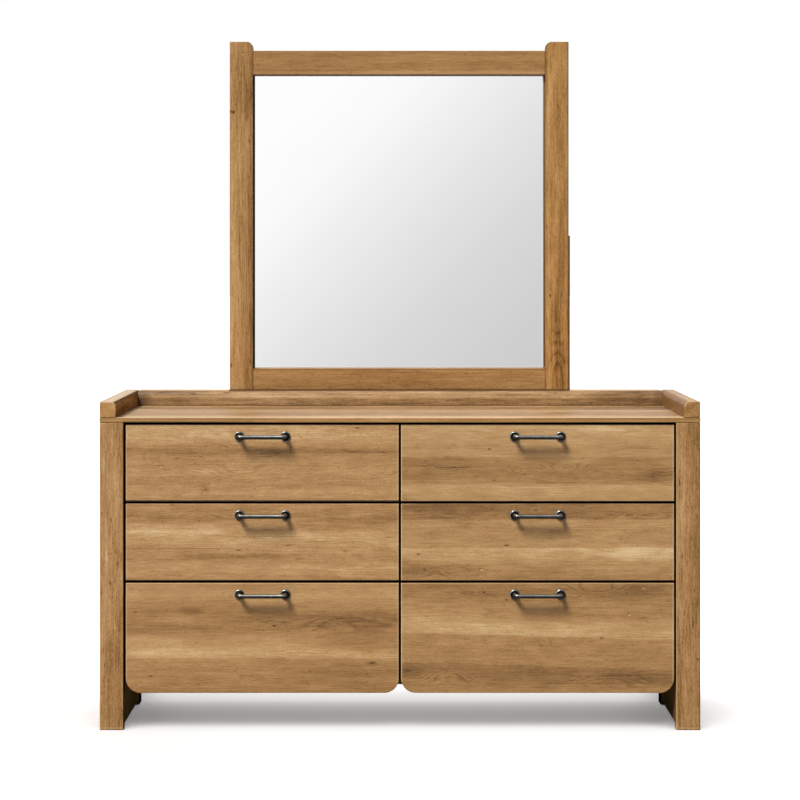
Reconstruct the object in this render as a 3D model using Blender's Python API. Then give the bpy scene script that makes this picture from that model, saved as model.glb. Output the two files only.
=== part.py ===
"""Dresser with six drawers and a framed mirror standing on its top.

Lengths are in metres. X runs to the right as seen from the front, Y to the back and Z up.
The origin is on the floor, at the middle of the whole dresser's footprint.
A depth is measured backwards from the plane of the drawer fronts.
"""

import math

import bmesh
import bpy
from mathutils import Matrix, Vector

# Fits
JOINT_GAP = 0.0003
CUT_OVERRUN = 0.004
WELD_DISTANCE = 0.00001

# Case
CASE_WIDTH = 1.500
CASE_DEPTH = 0.432
PANEL_THICKNESS = 0.018
STILE_WIDTH = 0.060
STILE_DEPTH = 0.018
EASED_EDGE = 0.0014
SLAB_THICKNESS = 0.0127
SLAB_OVERHANG = 0.001
SLAB_ROUND = 0.0028
BOTTOM_PANEL_THICKNESS = 0.015
BACK_PANEL_THICKNESS = 0.003
BACK_REBATE_WIDTH = 0.008
REAR_RAIL_HEIGHT = 0.060

# Feet of the inner side panels
PANEL_RAISE = 0.014
FOOT_FRONT_DEPTH = 0.254
FOOT_LENGTH = 0.039
FOOT_ROUND = 0.012

# Gallery round the top
GALLERY_HEIGHT = 0.040
GALLERY_SIDE_WIDTH = 0.040
GALLERY_BACK_DEPTH = 0.060
GALLERY_ROUND = 0.014

# Drawer fronts
FLOOR_TO_FRONTS = 0.0925
UPPER_FRONT_HEIGHT = 0.191
MIDDLE_FRONT_HEIGHT = 0.1925
LOWER_FRONT_HEIGHT = 0.275
FRONT_THICKNESS = 0.018
FRONT_GAP = 0.0055
SIDE_GAP = 0.0054
CENTRE_GAP = 0.0052
FRONT_DROP = 0.0175
FRONT_CORNER_ROUND = 0.037

# Drawer boxes
BOX_SIDE_CLEARANCE = 0.0015
BOX_WALL = 0.012
BOX_RISE = 0.022
BOX_FLOOR_CLEARANCE = 0.010
BOX_BELOW_FRONT_TOP = 0.040
BOX_REAR_CLEARANCE = 0.030
DRAWER_BOTTOM_THICKNESS = 0.003
DRAWER_BOTTOM_RISE = 0.010
DRAWER_BOTTOM_GROOVE = 0.005

# Runners and the grooves that slide on them
RUNNER_REACH = 0.0060
RUNNER_HEIGHT = 0.012
RUNNER_RISE = 0.050
RUNNER_FRONT_SETBACK = 0.014
RUNNER_REAR_SETBACK = 0.016
RUNNER_TIP_CLEARANCE = 0.0010
RUNNER_UNDER_CLEARANCE = 0.0012
RUNNER_SCREW_INSET = 0.045
RUNNER_SCREW_RADIUS = 0.0019
RUNNER_SINK_RADIUS = 0.0038
RUNNER_SINK_DEPTH = 0.0020

# Pulls
PULL_SPACING = 0.115
PULL_DROP = 0.0284
PULL_BAR_RADIUS = 0.00425
PULL_STANDOFF = 0.028
PULL_ELBOW_RADIUS = 0.0075
ROSETTE_RADIUS = 0.0125
ROSETTE_EDGE = 0.0012
ROSETTE_CREST_RADIUS = 0.0101
ROSETTE_CREST_HEIGHT = 0.0042
ROSETTE_DISH_RADIUS = 0.0062
ROSETTE_DISH_HEIGHT = 0.0020

# Mirror
MIRROR_WIDTH = 0.925
MIRROR_SHIFT = 0.0023
MIRROR_THICKNESS = 0.022
MIRROR_POST_WIDTH = 0.0635
MIRROR_POST_HEIGHT = 0.950
MIRROR_POST_ROUND = 0.018
MIRROR_RAIL_DROP = 0.0245
MIRROR_TOP_RAIL_HEIGHT = 0.067
MIRROR_BOTTOM_RAIL_HEIGHT = 0.0575
MIRROR_REBATE_WIDTH = 0.008
GLASS_THICKNESS = 0.004
BACKING_THICKNESS = 0.003
SUPPORT_WIDTH = 0.060
SUPPORT_THICKNESS = 0.018
SUPPORT_PROUD = 0.0035
SUPPORT_ABOVE = 0.421
SUPPORT_BELOW = 0.421

# Facets
ROUND_STEPS = 8
EASED_STEPS = 2
SLAB_ROUND_STEPS = 3
ELBOW_STEPS = 5
BAR_RESOLUTION = 4
SHOULDER_STEPS = 4
ROSETTE_STEPS = 20
HOLE_STEPS = 12
SMOOTH_ANGLE = math.radians(30)

SIDES = (("left", -1), ("right", 1))

# Heights, from the floor up
bottom_panel_low = FLOOR_TO_FRONTS + FRONT_DROP
bottom_panel_high = bottom_panel_low + BOTTOM_PANEL_THICKNESS
middle_front_low = FLOOR_TO_FRONTS + LOWER_FRONT_HEIGHT + FRONT_GAP
upper_front_low = middle_front_low + MIDDLE_FRONT_HEIGHT + FRONT_GAP
slab_low = upper_front_low + UPPER_FRONT_HEIGHT + FRONT_GAP
slab_high = slab_low + SLAB_THICKNESS
case_high = slab_low - JOINT_GAP
gallery_low = slab_high + JOINT_GAP
gallery_high = gallery_low + GALLERY_HEIGHT
mirror_low = gallery_high + JOINT_GAP
mirror_high = mirror_low + MIRROR_POST_HEIGHT

# Half widths, from the middle out
case_half = CASE_WIDTH / 2
stile_inner = case_half - STILE_WIDTH
outer_panel_inner = case_half - PANEL_THICKNESS
inner_panel_outer = stile_inner + PANEL_THICKNESS
gallery_inner = case_half - GALLERY_SIDE_WIDTH
divider_half = PANEL_THICKNESS / 2
front_inner = CENTRE_GAP / 2
front_outer = stile_inner - SIDE_GAP
front_width = front_outer - front_inner
front_centre = (front_outer + front_inner) / 2
bay_half = (stile_inner - divider_half) / 2
bay_centre = (stile_inner + divider_half) / 2
box_half = bay_half - BOX_SIDE_CLEARANCE

# Depths behind the plane of the fronts
behind_stile = STILE_DEPTH + JOINT_GAP
behind_front = FRONT_THICKNESS + JOINT_GAP
rear_stile_front = CASE_DEPTH - STILE_DEPTH
back_panel_front = CASE_DEPTH - BACK_PANEL_THICKNESS
inside_back = back_panel_front - JOINT_GAP
rear_rail_front = inside_back - PANEL_THICKNESS
gallery_back_front = CASE_DEPTH - GALLERY_BACK_DEPTH
mirror_front = CASE_DEPTH - MIRROR_THICKNESS
support_front = CASE_DEPTH + JOINT_GAP
support_back = support_front + SUPPORT_THICKNESS
box_length = inside_back - BOX_REAR_CLEARANCE - behind_front
runner_length = box_length - RUNNER_FRONT_SETBACK - RUNNER_REAR_SETBACK

# Where the plane of the fronts lies, with the footprint centred on the origin
pull_reach = JOINT_GAP + PULL_STANDOFF + PULL_BAR_RADIUS
front_plane = pull_reach - (pull_reach + support_back) / 2


def make_material(name, colour, roughness, metallic=0):
    """Returns a plain Principled material."""
    material = bpy.data.materials.new(name)
    material.use_nodes = True
    shader = material.node_tree.nodes["Principled BSDF"]
    shader.inputs["Base Color"].default_value = (*colour, 1)
    shader.inputs["Roughness"].default_value = roughness
    shader.inputs["Metallic"].default_value = metallic
    return material


def make_group(name, location, parent=None):
    """Returns an empty that carries the pieces of one assembly."""
    group = bpy.data.objects.new(name, None)
    bpy.context.collection.objects.link(group)
    group.location = location
    group.parent = parent
    return group


def add_object(name, mesh, location, parent):
    """Links a mesh to the scene under its name and its assembly."""
    piece = bpy.data.objects.new(name, mesh)
    bpy.context.collection.objects.link(piece)
    piece.location = location
    piece.parent = parent
    return piece


def finish_mesh(name, bm, material):
    """Turns an edited mesh into mesh data, with round faces shaded smooth."""
    bmesh.ops.recalc_face_normals(bm, faces=bm.faces)
    mesh = bpy.data.meshes.new(name)
    bm.to_mesh(mesh)
    bm.free()
    mesh.materials.append(material)
    mesh.shade_smooth()
    mesh.set_sharp_from_angle(angle=SMOOTH_ANGLE)
    return mesh


def ease_edges(piece, width=EASED_EDGE, segments=EASED_STEPS):
    """Rounds the sharp edges of a piece."""
    bevel = piece.modifiers.new("eased edges", "BEVEL")
    bevel.width = width
    bevel.segments = segments
    bevel.limit_method = "ANGLE"
    bevel.angle_limit = SMOOTH_ANGLE
    return piece


def add_board(name, material, low, high, parent):
    """Adds a rectangular board between two opposite corners."""
    low = Vector(low)
    high = Vector(high)
    bm = bmesh.new()
    bmesh.ops.create_cube(bm, size=1)
    bmesh.ops.scale(bm, vec=high - low, verts=bm.verts)
    return add_object(name, finish_mesh(name, bm, material), (low + high) / 2, parent)


def arc(centre, radius, start, end):
    """Returns the points of a round corner between two angles in degrees."""
    points = []
    for step in range(ROUND_STEPS + 1):
        angle = math.radians(start + (end - start) * step / ROUND_STEPS)
        u = centre[0] + radius * math.cos(angle)
        v = centre[1] + radius * math.sin(angle)
        points.append((u, v))
    return points


def add_profile(name, material, outline, axis, low, high, parent):
    """Adds a solid with an outline drawn square to an axis and extruded along it."""
    turns = {
        "X": Matrix(((0, 0, 1), (1, 0, 0), (0, 1, 0))),
        "Y": Matrix(((1, 0, 0), (0, 0, 1), (0, 1, 0))),
        "Z": Matrix.Identity(3),
    }
    bm = bmesh.new()
    corners = [bm.verts.new((u, v, low)) for u, v in outline]
    face = bm.faces.new(corners)
    grown = bmesh.ops.extrude_face_region(bm, geom=[face])
    moved = [item for item in grown["geom"] if isinstance(item, bmesh.types.BMVert)]
    bmesh.ops.translate(bm, vec=(0, 0, high - low), verts=moved)
    bmesh.ops.transform(bm, matrix=turns[axis].to_4x4(), verts=bm.verts)
    return add_object(name, finish_mesh(name, bm, material), (0, 0, 0), parent)


def cut_with(piece, cutter):
    """Cuts one piece with another, which is left as a hidden tool."""
    cutter.hide_render = True
    cutter.display_type = "WIRE"
    cut = piece.modifiers.new(cutter.name, "BOOLEAN")
    cut.operation = "DIFFERENCE"
    cut.solver = "EXACT"
    cut.object = cutter


def cut_box(piece, low, high):
    """Cuts a rectangular recess out of a piece."""
    name = f"{piece.name}_cutter_{len(piece.modifiers)}"
    cut_with(piece, add_board(name, piece.data.materials[0], low, high, piece.parent))


def turned_mesh(name, material, profile, axis, steps):
    """Returns a profile of radius and height points turned about an axis, from axis to axis.

    The turn starts half a step round, so that its edges miss those of a bar that passes through.
    """
    half_step = math.pi / steps
    across = math.cos(half_step)
    along = math.sin(half_step)
    bm = bmesh.new()
    points = [bm.verts.new((across * r, along * r, height)) for r, height in profile]
    edges = [bm.edges.new(pair) for pair in zip(points, points[1:])]
    bmesh.ops.spin(
        bm,
        geom=points + edges,
        cent=(0, 0, 0),
        axis=(0, 0, 1),
        angle=math.tau,
        steps=steps,
        use_merge=True,
    )
    bmesh.ops.remove_doubles(bm, verts=bm.verts, dist=WELD_DISTANCE)
    turn = Vector((0, 0, 1)).rotation_difference(Vector(axis)).to_matrix().to_4x4()
    bmesh.ops.transform(bm, matrix=turn, verts=bm.verts)
    return finish_mesh(name, bm, material)


def settled_mesh(piece, tools, material):
    """Returns the mesh that a piece's modifiers give, and removes the piece and its tools."""
    scene_graph = bpy.context.evaluated_depsgraph_get()
    mesh = bpy.data.meshes.new_from_object(piece.evaluated_get(scene_graph))
    mesh.name = piece.name
    mesh.materials.clear()
    mesh.materials.append(material)
    mesh.shade_smooth()
    mesh.set_sharp_from_angle(angle=SMOOTH_ANGLE)
    for used in [piece, *tools]:
        bpy.data.objects.remove(used)
    return mesh


def span(side, inner, outer):
    """Returns the low and high X of something that lies between two distances on one side."""
    ends = (side * inner, side * outer)
    return min(ends), max(ends)


def add_sides(oak, panel_oak, case):
    """Adds the stiles and the outer and inner side panels."""
    for label, side in SIDES:
        low_x, high_x = span(side, stile_inner, case_half)
        stile = add_board(
            f"front_stile_{label}", oak, (low_x, 0, 0), (high_x, STILE_DEPTH, case_high), case
        )
        ease_edges(stile)
        stile = add_board(
            f"rear_stile_{label}",
            oak,
            (low_x, rear_stile_front, 0),
            (high_x, CASE_DEPTH, case_high),
            case,
        )
        ease_edges(stile)
        low_x, high_x = span(side, stile_inner - CUT_OVERRUN, stile_inner + BACK_REBATE_WIDTH)
        cut_box(
            stile,
            (low_x, inside_back, -CUT_OVERRUN),
            (high_x, CASE_DEPTH + CUT_OVERRUN, case_high + CUT_OVERRUN),
        )
        low_x, high_x = span(side, outer_panel_inner, case_half)
        panel = add_board(
            f"side_panel_outer_{label}",
            oak,
            (low_x, behind_stile, PANEL_RAISE),
            (high_x, rear_stile_front - JOINT_GAP, case_high),
            case,
        )
        ease_edges(panel)
        low_x, high_x = span(side, stile_inner, inner_panel_outer)
        add_profile(
            f"side_panel_inner_{label}",
            panel_oak,
            inner_panel_outline(),
            "X",
            low_x,
            high_x,
            case,
        )


def add_boards(oak, panel_oak, hardboard, case):
    """Adds the boards between the sides: bottom, rear rail, back, divider and top."""
    reach = stile_inner - JOINT_GAP
    panel = add_board(
        "bottom_panel",
        panel_oak,
        (-reach, behind_front, bottom_panel_low),
        (reach, inside_back, bottom_panel_high),
        case,
    )
    ease_edges(panel, segments=1)
    add_board(
        "top_rear_rail",
        panel_oak,
        (-reach, rear_rail_front, case_high - REAR_RAIL_HEIGHT),
        (reach, inside_back, case_high),
        case,
    )
    back_reach = stile_inner + BACK_REBATE_WIDTH - JOINT_GAP
    add_board(
        "back_panel",
        hardboard,
        (-back_reach, back_panel_front, bottom_panel_low),
        (back_reach, CASE_DEPTH, case_high),
        case,
    )
    add_profile(
        "centre_divider",
        panel_oak,
        divider_outline(),
        "X",
        -divider_half,
        divider_half,
        case,
    )
    slab_reach = case_half + SLAB_OVERHANG
    slab = add_board(
        "top_slab", oak, (-slab_reach, 0, slab_low), (slab_reach, CASE_DEPTH, slab_high), case
    )
    ease_edges(slab, SLAB_ROUND, SLAB_ROUND_STEPS)


def inner_panel_outline():
    """Returns the depth and height points of an inner side panel with its foot."""
    foot_back = FOOT_FRONT_DEPTH + FOOT_LENGTH
    foot_corner = (foot_back - FOOT_ROUND, FOOT_ROUND)
    panel_back = rear_stile_front - JOINT_GAP
    return [
        (behind_stile, PANEL_RAISE),
        (FOOT_FRONT_DEPTH, PANEL_RAISE),
        (FOOT_FRONT_DEPTH, 0),
        *arc(foot_corner, FOOT_ROUND, -90, 0),
        (foot_back, bottom_panel_low),
        (panel_back, bottom_panel_low),
        (panel_back, case_high),
        (behind_stile, case_high),
    ]


def divider_outline():
    """Returns the depth and height points of the divider, notched for the rear rail."""
    low = bottom_panel_high + JOINT_GAP
    notch_front = rear_rail_front - JOINT_GAP
    notch_low = case_high - REAR_RAIL_HEIGHT - JOINT_GAP
    return [
        (behind_front, low),
        (inside_back, low),
        (inside_back, notch_low),
        (notch_front, notch_low),
        (notch_front, case_high),
        (behind_front, case_high),
    ]


def add_gallery(oak, case):
    """Adds the three low rails round the top, each with its inner top edge rounded."""
    round_centre = gallery_high - GALLERY_ROUND
    for label, side in SIDES:
        corner = (side * (gallery_inner + GALLERY_ROUND), round_centre)
        if side < 0:
            inner_round = arc(corner, GALLERY_ROUND, 0, 90)
        else:
            inner_round = arc(corner, GALLERY_ROUND, 180, 90)
        outline = [
            (side * case_half, gallery_low),
            (side * gallery_inner, gallery_low),
            *inner_round,
            (side * case_half, gallery_high),
        ]
        rail = add_profile(f"gallery_rail_{label}", oak, outline, "Y", 0, CASE_DEPTH, case)
        ease_edges(rail)
    corner = (gallery_back_front + GALLERY_ROUND, round_centre)
    outline = [
        (CASE_DEPTH, gallery_low),
        (gallery_back_front, gallery_low),
        *arc(corner, GALLERY_ROUND, 180, 90),
        (CASE_DEPTH, gallery_high),
    ]
    reach = gallery_inner - JOINT_GAP
    add_profile("gallery_rail_back", oak, outline, "X", -reach, reach, case)


def add_mirror(oak, glass, hardboard, mirror):
    """Adds the mirror's frame, glass, backing and the two battens that hold it."""
    half = MIRROR_WIDTH / 2
    opening = half - MIRROR_POST_WIDTH
    rail_reach = opening - JOINT_GAP
    top_rail_high = mirror_high - MIRROR_RAIL_DROP
    top_rail_low = top_rail_high - MIRROR_TOP_RAIL_HEIGHT
    bottom_rail_high = mirror_low + MIRROR_BOTTOM_RAIL_HEIGHT
    rebate_depth = GLASS_THICKNESS + BACKING_THICKNESS + 2 * JOINT_GAP
    rebate_front = CASE_DEPTH - rebate_depth
    rebate_back = CASE_DEPTH + CUT_OVERRUN
    rebate_reach = opening + MIRROR_REBATE_WIDTH
    rebate_low = bottom_rail_high - MIRROR_REBATE_WIDTH
    rebate_high = top_rail_low + MIRROR_REBATE_WIDTH

    for label, side in SIDES:
        corner = (side * (opening + MIRROR_POST_ROUND), mirror_high - MIRROR_POST_ROUND)
        if side < 0:
            inner_round = arc(corner, MIRROR_POST_ROUND, 0, 90)
        else:
            inner_round = arc(corner, MIRROR_POST_ROUND, 180, 90)
        outline = [
            (side * half, mirror_low),
            (side * opening, mirror_low),
            *inner_round,
            (side * half, mirror_high),
        ]
        post = add_profile(
            f"mirror_post_{label}", oak, outline, "Y", mirror_front, CASE_DEPTH, mirror
        )
        ease_edges(post)
        low_x, high_x = span(side, opening - CUT_OVERRUN, rebate_reach)
        cut_box(post, (low_x, rebate_front, rebate_low), (high_x, rebate_back, rebate_high))

    rails = (
        ("bottom", mirror_low, bottom_rail_high, rebate_low, bottom_rail_high + CUT_OVERRUN),
        ("top", top_rail_low, top_rail_high, top_rail_low - CUT_OVERRUN, rebate_high),
    )
    for label, low, high, cut_low, cut_high in rails:
        rail = add_board(
            f"mirror_rail_{label}",
            oak,
            (-rail_reach, mirror_front, low),
            (rail_reach, CASE_DEPTH, high),
            mirror,
        )
        ease_edges(rail)
        cut_box(rail, (-half, rebate_front, cut_low), (half, rebate_back, cut_high))

    pane_reach = rebate_reach - JOINT_GAP
    pane_low = rebate_low + JOINT_GAP
    pane_high = rebate_high - JOINT_GAP
    glass_front = rebate_front + JOINT_GAP
    glass_back = glass_front + GLASS_THICKNESS
    add_board(
        "mirror_glass",
        glass,
        (-pane_reach, glass_front, pane_low),
        (pane_reach, glass_back, pane_high),
        mirror,
    )
    add_board(
        "mirror_backing",
        hardboard,
        (-pane_reach, glass_back + JOINT_GAP, pane_low),
        (pane_reach, CASE_DEPTH, pane_high),
        mirror,
    )
    for label, side in SIDES:
        outer = half + SUPPORT_PROUD
        low_x, high_x = span(side, outer - SUPPORT_WIDTH, outer)
        batten = add_board(
            f"mirror_support_{label}",
            oak,
            (low_x + MIRROR_SHIFT, support_front, mirror_low - SUPPORT_BELOW),
            (high_x + MIRROR_SHIFT, support_back, mirror_low + SUPPORT_ABOVE),
            mirror,
        )
        ease_edges(batten)


def runner_mesh(plastic):
    """Returns a runner strip with round ends and two sunk screw holes, mid-length at its origin."""
    radius = RUNNER_HEIGHT / 2
    straight = runner_length / 2 - radius
    outline = [*arc((straight, 0), radius, -90, 90), *arc((-straight, 0), radius, 90, 270)]
    strip = add_profile("runner", plastic, outline, "X", 0, RUNNER_REACH, None)
    sink_start = RUNNER_REACH - RUNNER_SINK_DEPTH
    profile = [
        (0, -CUT_OVERRUN),
        (RUNNER_SCREW_RADIUS, -CUT_OVERRUN),
        (RUNNER_SCREW_RADIUS, sink_start),
        (RUNNER_SINK_RADIUS, RUNNER_REACH),
        (RUNNER_SINK_RADIUS, RUNNER_REACH + CUT_OVERRUN),
        (0, RUNNER_REACH + CUT_OVERRUN),
    ]
    drill = turned_mesh("screw_hole", plastic, profile, (1, 0, 0), HOLE_STEPS)
    inset = runner_length / 2 - RUNNER_SCREW_INSET
    holes = [add_object("screw_hole", drill, (0, place, 0), None) for place in (-inset, inset)]
    for hole in holes:
        cut_with(strip, hole)
    return settled_mesh(strip, holes, plastic)


def pull_mesh(metal):
    """Returns a bent bar with a dished rosette at each foot, its back on the plane Y = 0."""
    half = PULL_SPACING / 2
    foot = -ROSETTE_DISH_HEIGHT / 2
    bend_x = half - PULL_ELBOW_RADIUS
    bend_y = -(PULL_STANDOFF - PULL_ELBOW_RADIUS)
    route = [(-half, foot)]
    for step in range(ELBOW_STEPS + 1):
        angle = math.radians(180 + 90 * step / ELBOW_STEPS)
        across = -bend_x + PULL_ELBOW_RADIUS * math.cos(angle)
        out = bend_y + PULL_ELBOW_RADIUS * math.sin(angle)
        route.append((across, out))
    route += [(-across, out) for across, out in reversed(route)]
    bar = bpy.data.curves.new("pull_bar", "CURVE")
    bar.dimensions = "3D"
    bar.bevel_depth = PULL_BAR_RADIUS
    bar.bevel_resolution = BAR_RESOLUTION
    bar.use_fill_caps = True
    spline = bar.splines.new("POLY")
    spline.points.add(len(route) - 1)
    for point, (across, out) in zip(spline.points, route):
        point.co = (across, out, 0, 1)
    curve_object = add_object("pull_bar", bar, (0, 0, 0), None)
    bar_mesh = settled_mesh(curve_object, [], metal)
    pull = add_object("pull", bar_mesh, (0, 0, 0), None)

    rosette = turned_mesh("rosette", metal, rosette_profile(), (0, -1, 0), ROSETTE_STEPS)
    rosettes = [add_object("rosette", rosette, (place, 0, 0), None) for place in (-half, half)]
    for piece in rosettes:
        join = pull.modifiers.new("rosette", "BOOLEAN")
        join.operation = "UNION"
        join.solver = "EXACT"
        join.object = piece
    return settled_mesh(pull, rosettes, metal)


def rosette_profile():
    """Returns the radius and height points of a rosette: a round shoulder and a dished middle."""
    shoulder_width = ROSETTE_RADIUS - ROSETTE_CREST_RADIUS
    shoulder_height = ROSETTE_CREST_HEIGHT - ROSETTE_EDGE
    dish_width = ROSETTE_CREST_RADIUS - ROSETTE_DISH_RADIUS
    dish_depth = ROSETTE_CREST_HEIGHT - ROSETTE_DISH_HEIGHT
    profile = [(0, 0), (ROSETTE_RADIUS, 0)]
    for step in range(SHOULDER_STEPS + 1):
        angle = math.pi / 2 * step / SHOULDER_STEPS
        radius = ROSETTE_CREST_RADIUS + shoulder_width * math.cos(angle)
        height = ROSETTE_EDGE + shoulder_height * math.sin(angle)
        profile.append((radius, height))
    for step in range(1, SHOULDER_STEPS + 1):
        angle = math.pi * step / SHOULDER_STEPS
        radius = ROSETTE_CREST_RADIUS - dish_width * step / SHOULDER_STEPS
        height = ROSETTE_DISH_HEIGHT + dish_depth * (1 + math.cos(angle)) / 2
        profile.append((radius, height))
    profile.append((0, ROSETTE_DISH_HEIGHT))
    return profile


def add_front(name, oak, height, corner, drawer):
    """Adds a drawer front, its lower corners rounded where a radius is given."""
    half = front_width / 2
    if corner:
        lower_edge = [
            *arc((-half + corner, corner), corner, 180, 270),
            *arc((half - corner, corner), corner, 270, 360),
        ]
    else:
        lower_edge = [(-half, 0), (half, 0)]
    outline = [*lower_edge, (half, height), (-half, height)]
    front = add_profile(f"drawer_front_{name}", oak, outline, "Y", 0, FRONT_THICKNESS, drawer)
    return ease_edges(front)


def add_box(name, foil, middle, low, high, drawer):
    """Adds the folded sides and back of a drawer, with a groove outside for each runner."""
    inner = box_half - BOX_WALL
    back = behind_front + box_length
    outline = [
        (middle - box_half, behind_front),
        (middle - inner, behind_front),
        (middle - inner, back - BOX_WALL),
        (middle + inner, back - BOX_WALL),
        (middle + inner, behind_front),
        (middle + box_half, behind_front),
        (middle + box_half, back),
        (middle - box_half, back),
    ]
    box = add_profile(f"drawer_box_{name}", foil, outline, "Z", low, high, drawer)
    slot_low = low + RUNNER_RISE - RUNNER_UNDER_CLEARANCE
    slot_high = low + RUNNER_RISE + RUNNER_HEIGHT + JOINT_GAP
    slot_inner = bay_half - RUNNER_REACH - RUNNER_TIP_CLEARANCE
    for edge in (-1, 1):
        low_x, high_x = span(edge, slot_inner, box_half + CUT_OVERRUN)
        cut_box(
            box,
            (middle + low_x, behind_front - CUT_OVERRUN, slot_low),
            (middle + high_x, back + CUT_OVERRUN, slot_high),
        )
    return box


def add_bottom(name, hardboard, middle, low, front, box, drawer):
    """Adds the thin bottom of a drawer, and the groove that holds it in the front and the box."""
    reach = box_half - BOX_WALL + DRAWER_BOTTOM_GROOVE
    groove_front = FRONT_THICKNESS - DRAWER_BOTTOM_GROOVE
    groove_back = behind_front + box_length - BOX_WALL + DRAWER_BOTTOM_GROOVE
    groove_low = low + DRAWER_BOTTOM_RISE
    groove_high = groove_low + DRAWER_BOTTOM_THICKNESS + 2 * JOINT_GAP
    low_corner = Vector((middle - reach, groove_front, groove_low))
    high_corner = Vector((middle + reach, groove_back, groove_high))
    cut_box(front, low_corner, high_corner)
    cut_box(box, low_corner, high_corner)
    fit = Vector((JOINT_GAP, JOINT_GAP, JOINT_GAP))
    add_board(
        f"drawer_bottom_{name}", hardboard, low_corner + fit, high_corner - fit, drawer
    )


def add_runners(name, side, height, mesh, case):
    """Adds the two runners of a drawer, on the inner side panel and on the divider."""
    depth = behind_front + RUNNER_FRONT_SETBACK + runner_length / 2
    places = (
        ("outer", side * (stile_inner - JOINT_GAP), side < 0),
        ("inner", side * (divider_half + JOINT_GAP), side > 0),
    )
    for label, face, points_right in places:
        runner = add_object(f"runner_{name}_{label}", mesh, (face, depth, height), case)
        if not points_right:
            runner.rotation_euler.z = math.pi


def add_drawer(name, side, low, height, is_lowest, stock, case):
    """Adds one drawer that slides on its two runners."""
    drawer = make_group(f"drawer_{name}", (side * front_centre, 0, low), case)
    corner = FRONT_CORNER_ROUND if is_lowest else 0
    rise = bottom_panel_high + BOX_FLOOR_CLEARANCE - low if is_lowest else BOX_RISE
    middle = side * (bay_centre - front_centre)
    front = add_front(name, stock["oak"], height, corner, drawer)
    box = add_box(name, stock["foil"], middle, rise, height - BOX_BELOW_FRONT_TOP, drawer)
    add_bottom(name, stock["hardboard"], middle, rise, front, box, drawer)
    add_object(f"pull_{name}", stock["pull"], (0, -JOINT_GAP, height - PULL_DROP), drawer)
    runner_height = low + rise + RUNNER_RISE + RUNNER_HEIGHT / 2
    add_runners(name, side, runner_height, stock["runner"], case)


def main():
    """Builds the dresser in a scene with nothing else in it."""
    for old in list(bpy.data.objects):
        bpy.data.objects.remove(old)

    oak = make_material("oak laminate", (0.40, 0.25, 0.12), 0.5)
    panel_oak = make_material("inner panel board", (0.33, 0.21, 0.11), 0.6)
    foil = make_material("drawer box foil", (0.55, 0.45, 0.33), 0.5)
    hardboard = make_material("hardboard", (0.30, 0.19, 0.11), 0.8)
    glass = make_material("mirror glass", (0.85, 0.88, 0.88), 0.03, 1)
    metal = make_material("burnished metal", (0.28, 0.27, 0.26), 0.3, 1)
    plastic = make_material("runner plastic", (0.16, 0.11, 0.08), 0.45)
    stock = {
        "oak": oak,
        "foil": foil,
        "hardboard": hardboard,
        "runner": runner_mesh(plastic),
        "pull": pull_mesh(metal),
    }

    case = make_group("case", (0, front_plane, 0))
    mirror = make_group("mirror", (-MIRROR_SHIFT, 0, 0), case)
    add_sides(oak, panel_oak, case)
    add_boards(oak, panel_oak, hardboard, case)
    add_gallery(oak, case)
    add_mirror(oak, glass, hardboard, mirror)
    rows = (
        ("lower", FLOOR_TO_FRONTS, LOWER_FRONT_HEIGHT),
        ("middle", middle_front_low, MIDDLE_FRONT_HEIGHT),
        ("upper", upper_front_low, UPPER_FRONT_HEIGHT),
    )
    for row, low, height in rows:
        for label, side in SIDES:
            add_drawer(f"{row}_{label}", side, low, height, row == "lower", stock, case)


main()
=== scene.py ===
import math

import bmesh
import bpy
from mathutils import Matrix, Vector


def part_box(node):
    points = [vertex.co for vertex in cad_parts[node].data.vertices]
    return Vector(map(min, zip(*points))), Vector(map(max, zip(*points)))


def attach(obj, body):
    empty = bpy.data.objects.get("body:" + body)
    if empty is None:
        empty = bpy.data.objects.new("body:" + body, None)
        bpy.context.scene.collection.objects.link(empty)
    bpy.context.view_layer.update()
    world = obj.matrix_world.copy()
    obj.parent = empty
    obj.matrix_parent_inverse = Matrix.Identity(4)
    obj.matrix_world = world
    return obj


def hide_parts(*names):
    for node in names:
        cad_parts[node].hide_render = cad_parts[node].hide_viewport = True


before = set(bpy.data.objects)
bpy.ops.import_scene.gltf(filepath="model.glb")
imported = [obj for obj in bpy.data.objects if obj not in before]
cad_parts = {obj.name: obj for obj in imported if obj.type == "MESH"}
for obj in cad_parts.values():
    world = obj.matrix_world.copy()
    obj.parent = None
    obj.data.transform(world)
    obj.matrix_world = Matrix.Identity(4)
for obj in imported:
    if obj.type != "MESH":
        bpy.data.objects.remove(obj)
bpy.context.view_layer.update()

# Sizes and places in metres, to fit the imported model
PULL_SPACING = 0.115
PULL_DROP = 0.0284
PULL_STANDOFF = 0.0264
BAR_RADIUS = 0.0054
ELBOW_RADIUS = 0.0075
ELBOW_SWELL = 0.1
ROSETTE_RADIUS = 0.0128
ROSETTE_EDGE = 0.0012
FIT_GAP = 0.0003
RIM_LEFT = 0.0042
RIM_RIGHT = 0.0076
RIM_TOP = 0.0004
RIM_BOTTOM = 0.0036
RIM_DEPTH = 0.0012
TRIM_THICKNESS = 0.0013
FOOT_ROUND = 0.005
TRIM_FRONT = 0.0455
TRIM_BACK = 0.0841
TRIM_FOOT = 0.0002
TRIM_TOP = 0.1095
POST_ROUND = 0.018
RAIL_ROUND = 0.014
RUNNER_SCREW_INSET = 0.045
SCREW_SINK = 0.0018
SUPPORT_SCREW_HEIGHTS = (0.44, 0.72, 0.86, 1.2)
BACK_SCREW_PLACES = (-0.6, -0.3, 0.0, 0.3, 0.6)
BACK_SCREW_HEIGHTS = (0.32, 0.54)
CLIP_HEIGHTS = (1.3, 1.56)
CLIP_PLACES = (-0.2, 0.2)
CLIP_OUTSET = 0.008
CLIP_RADIUS = 0.006
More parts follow.
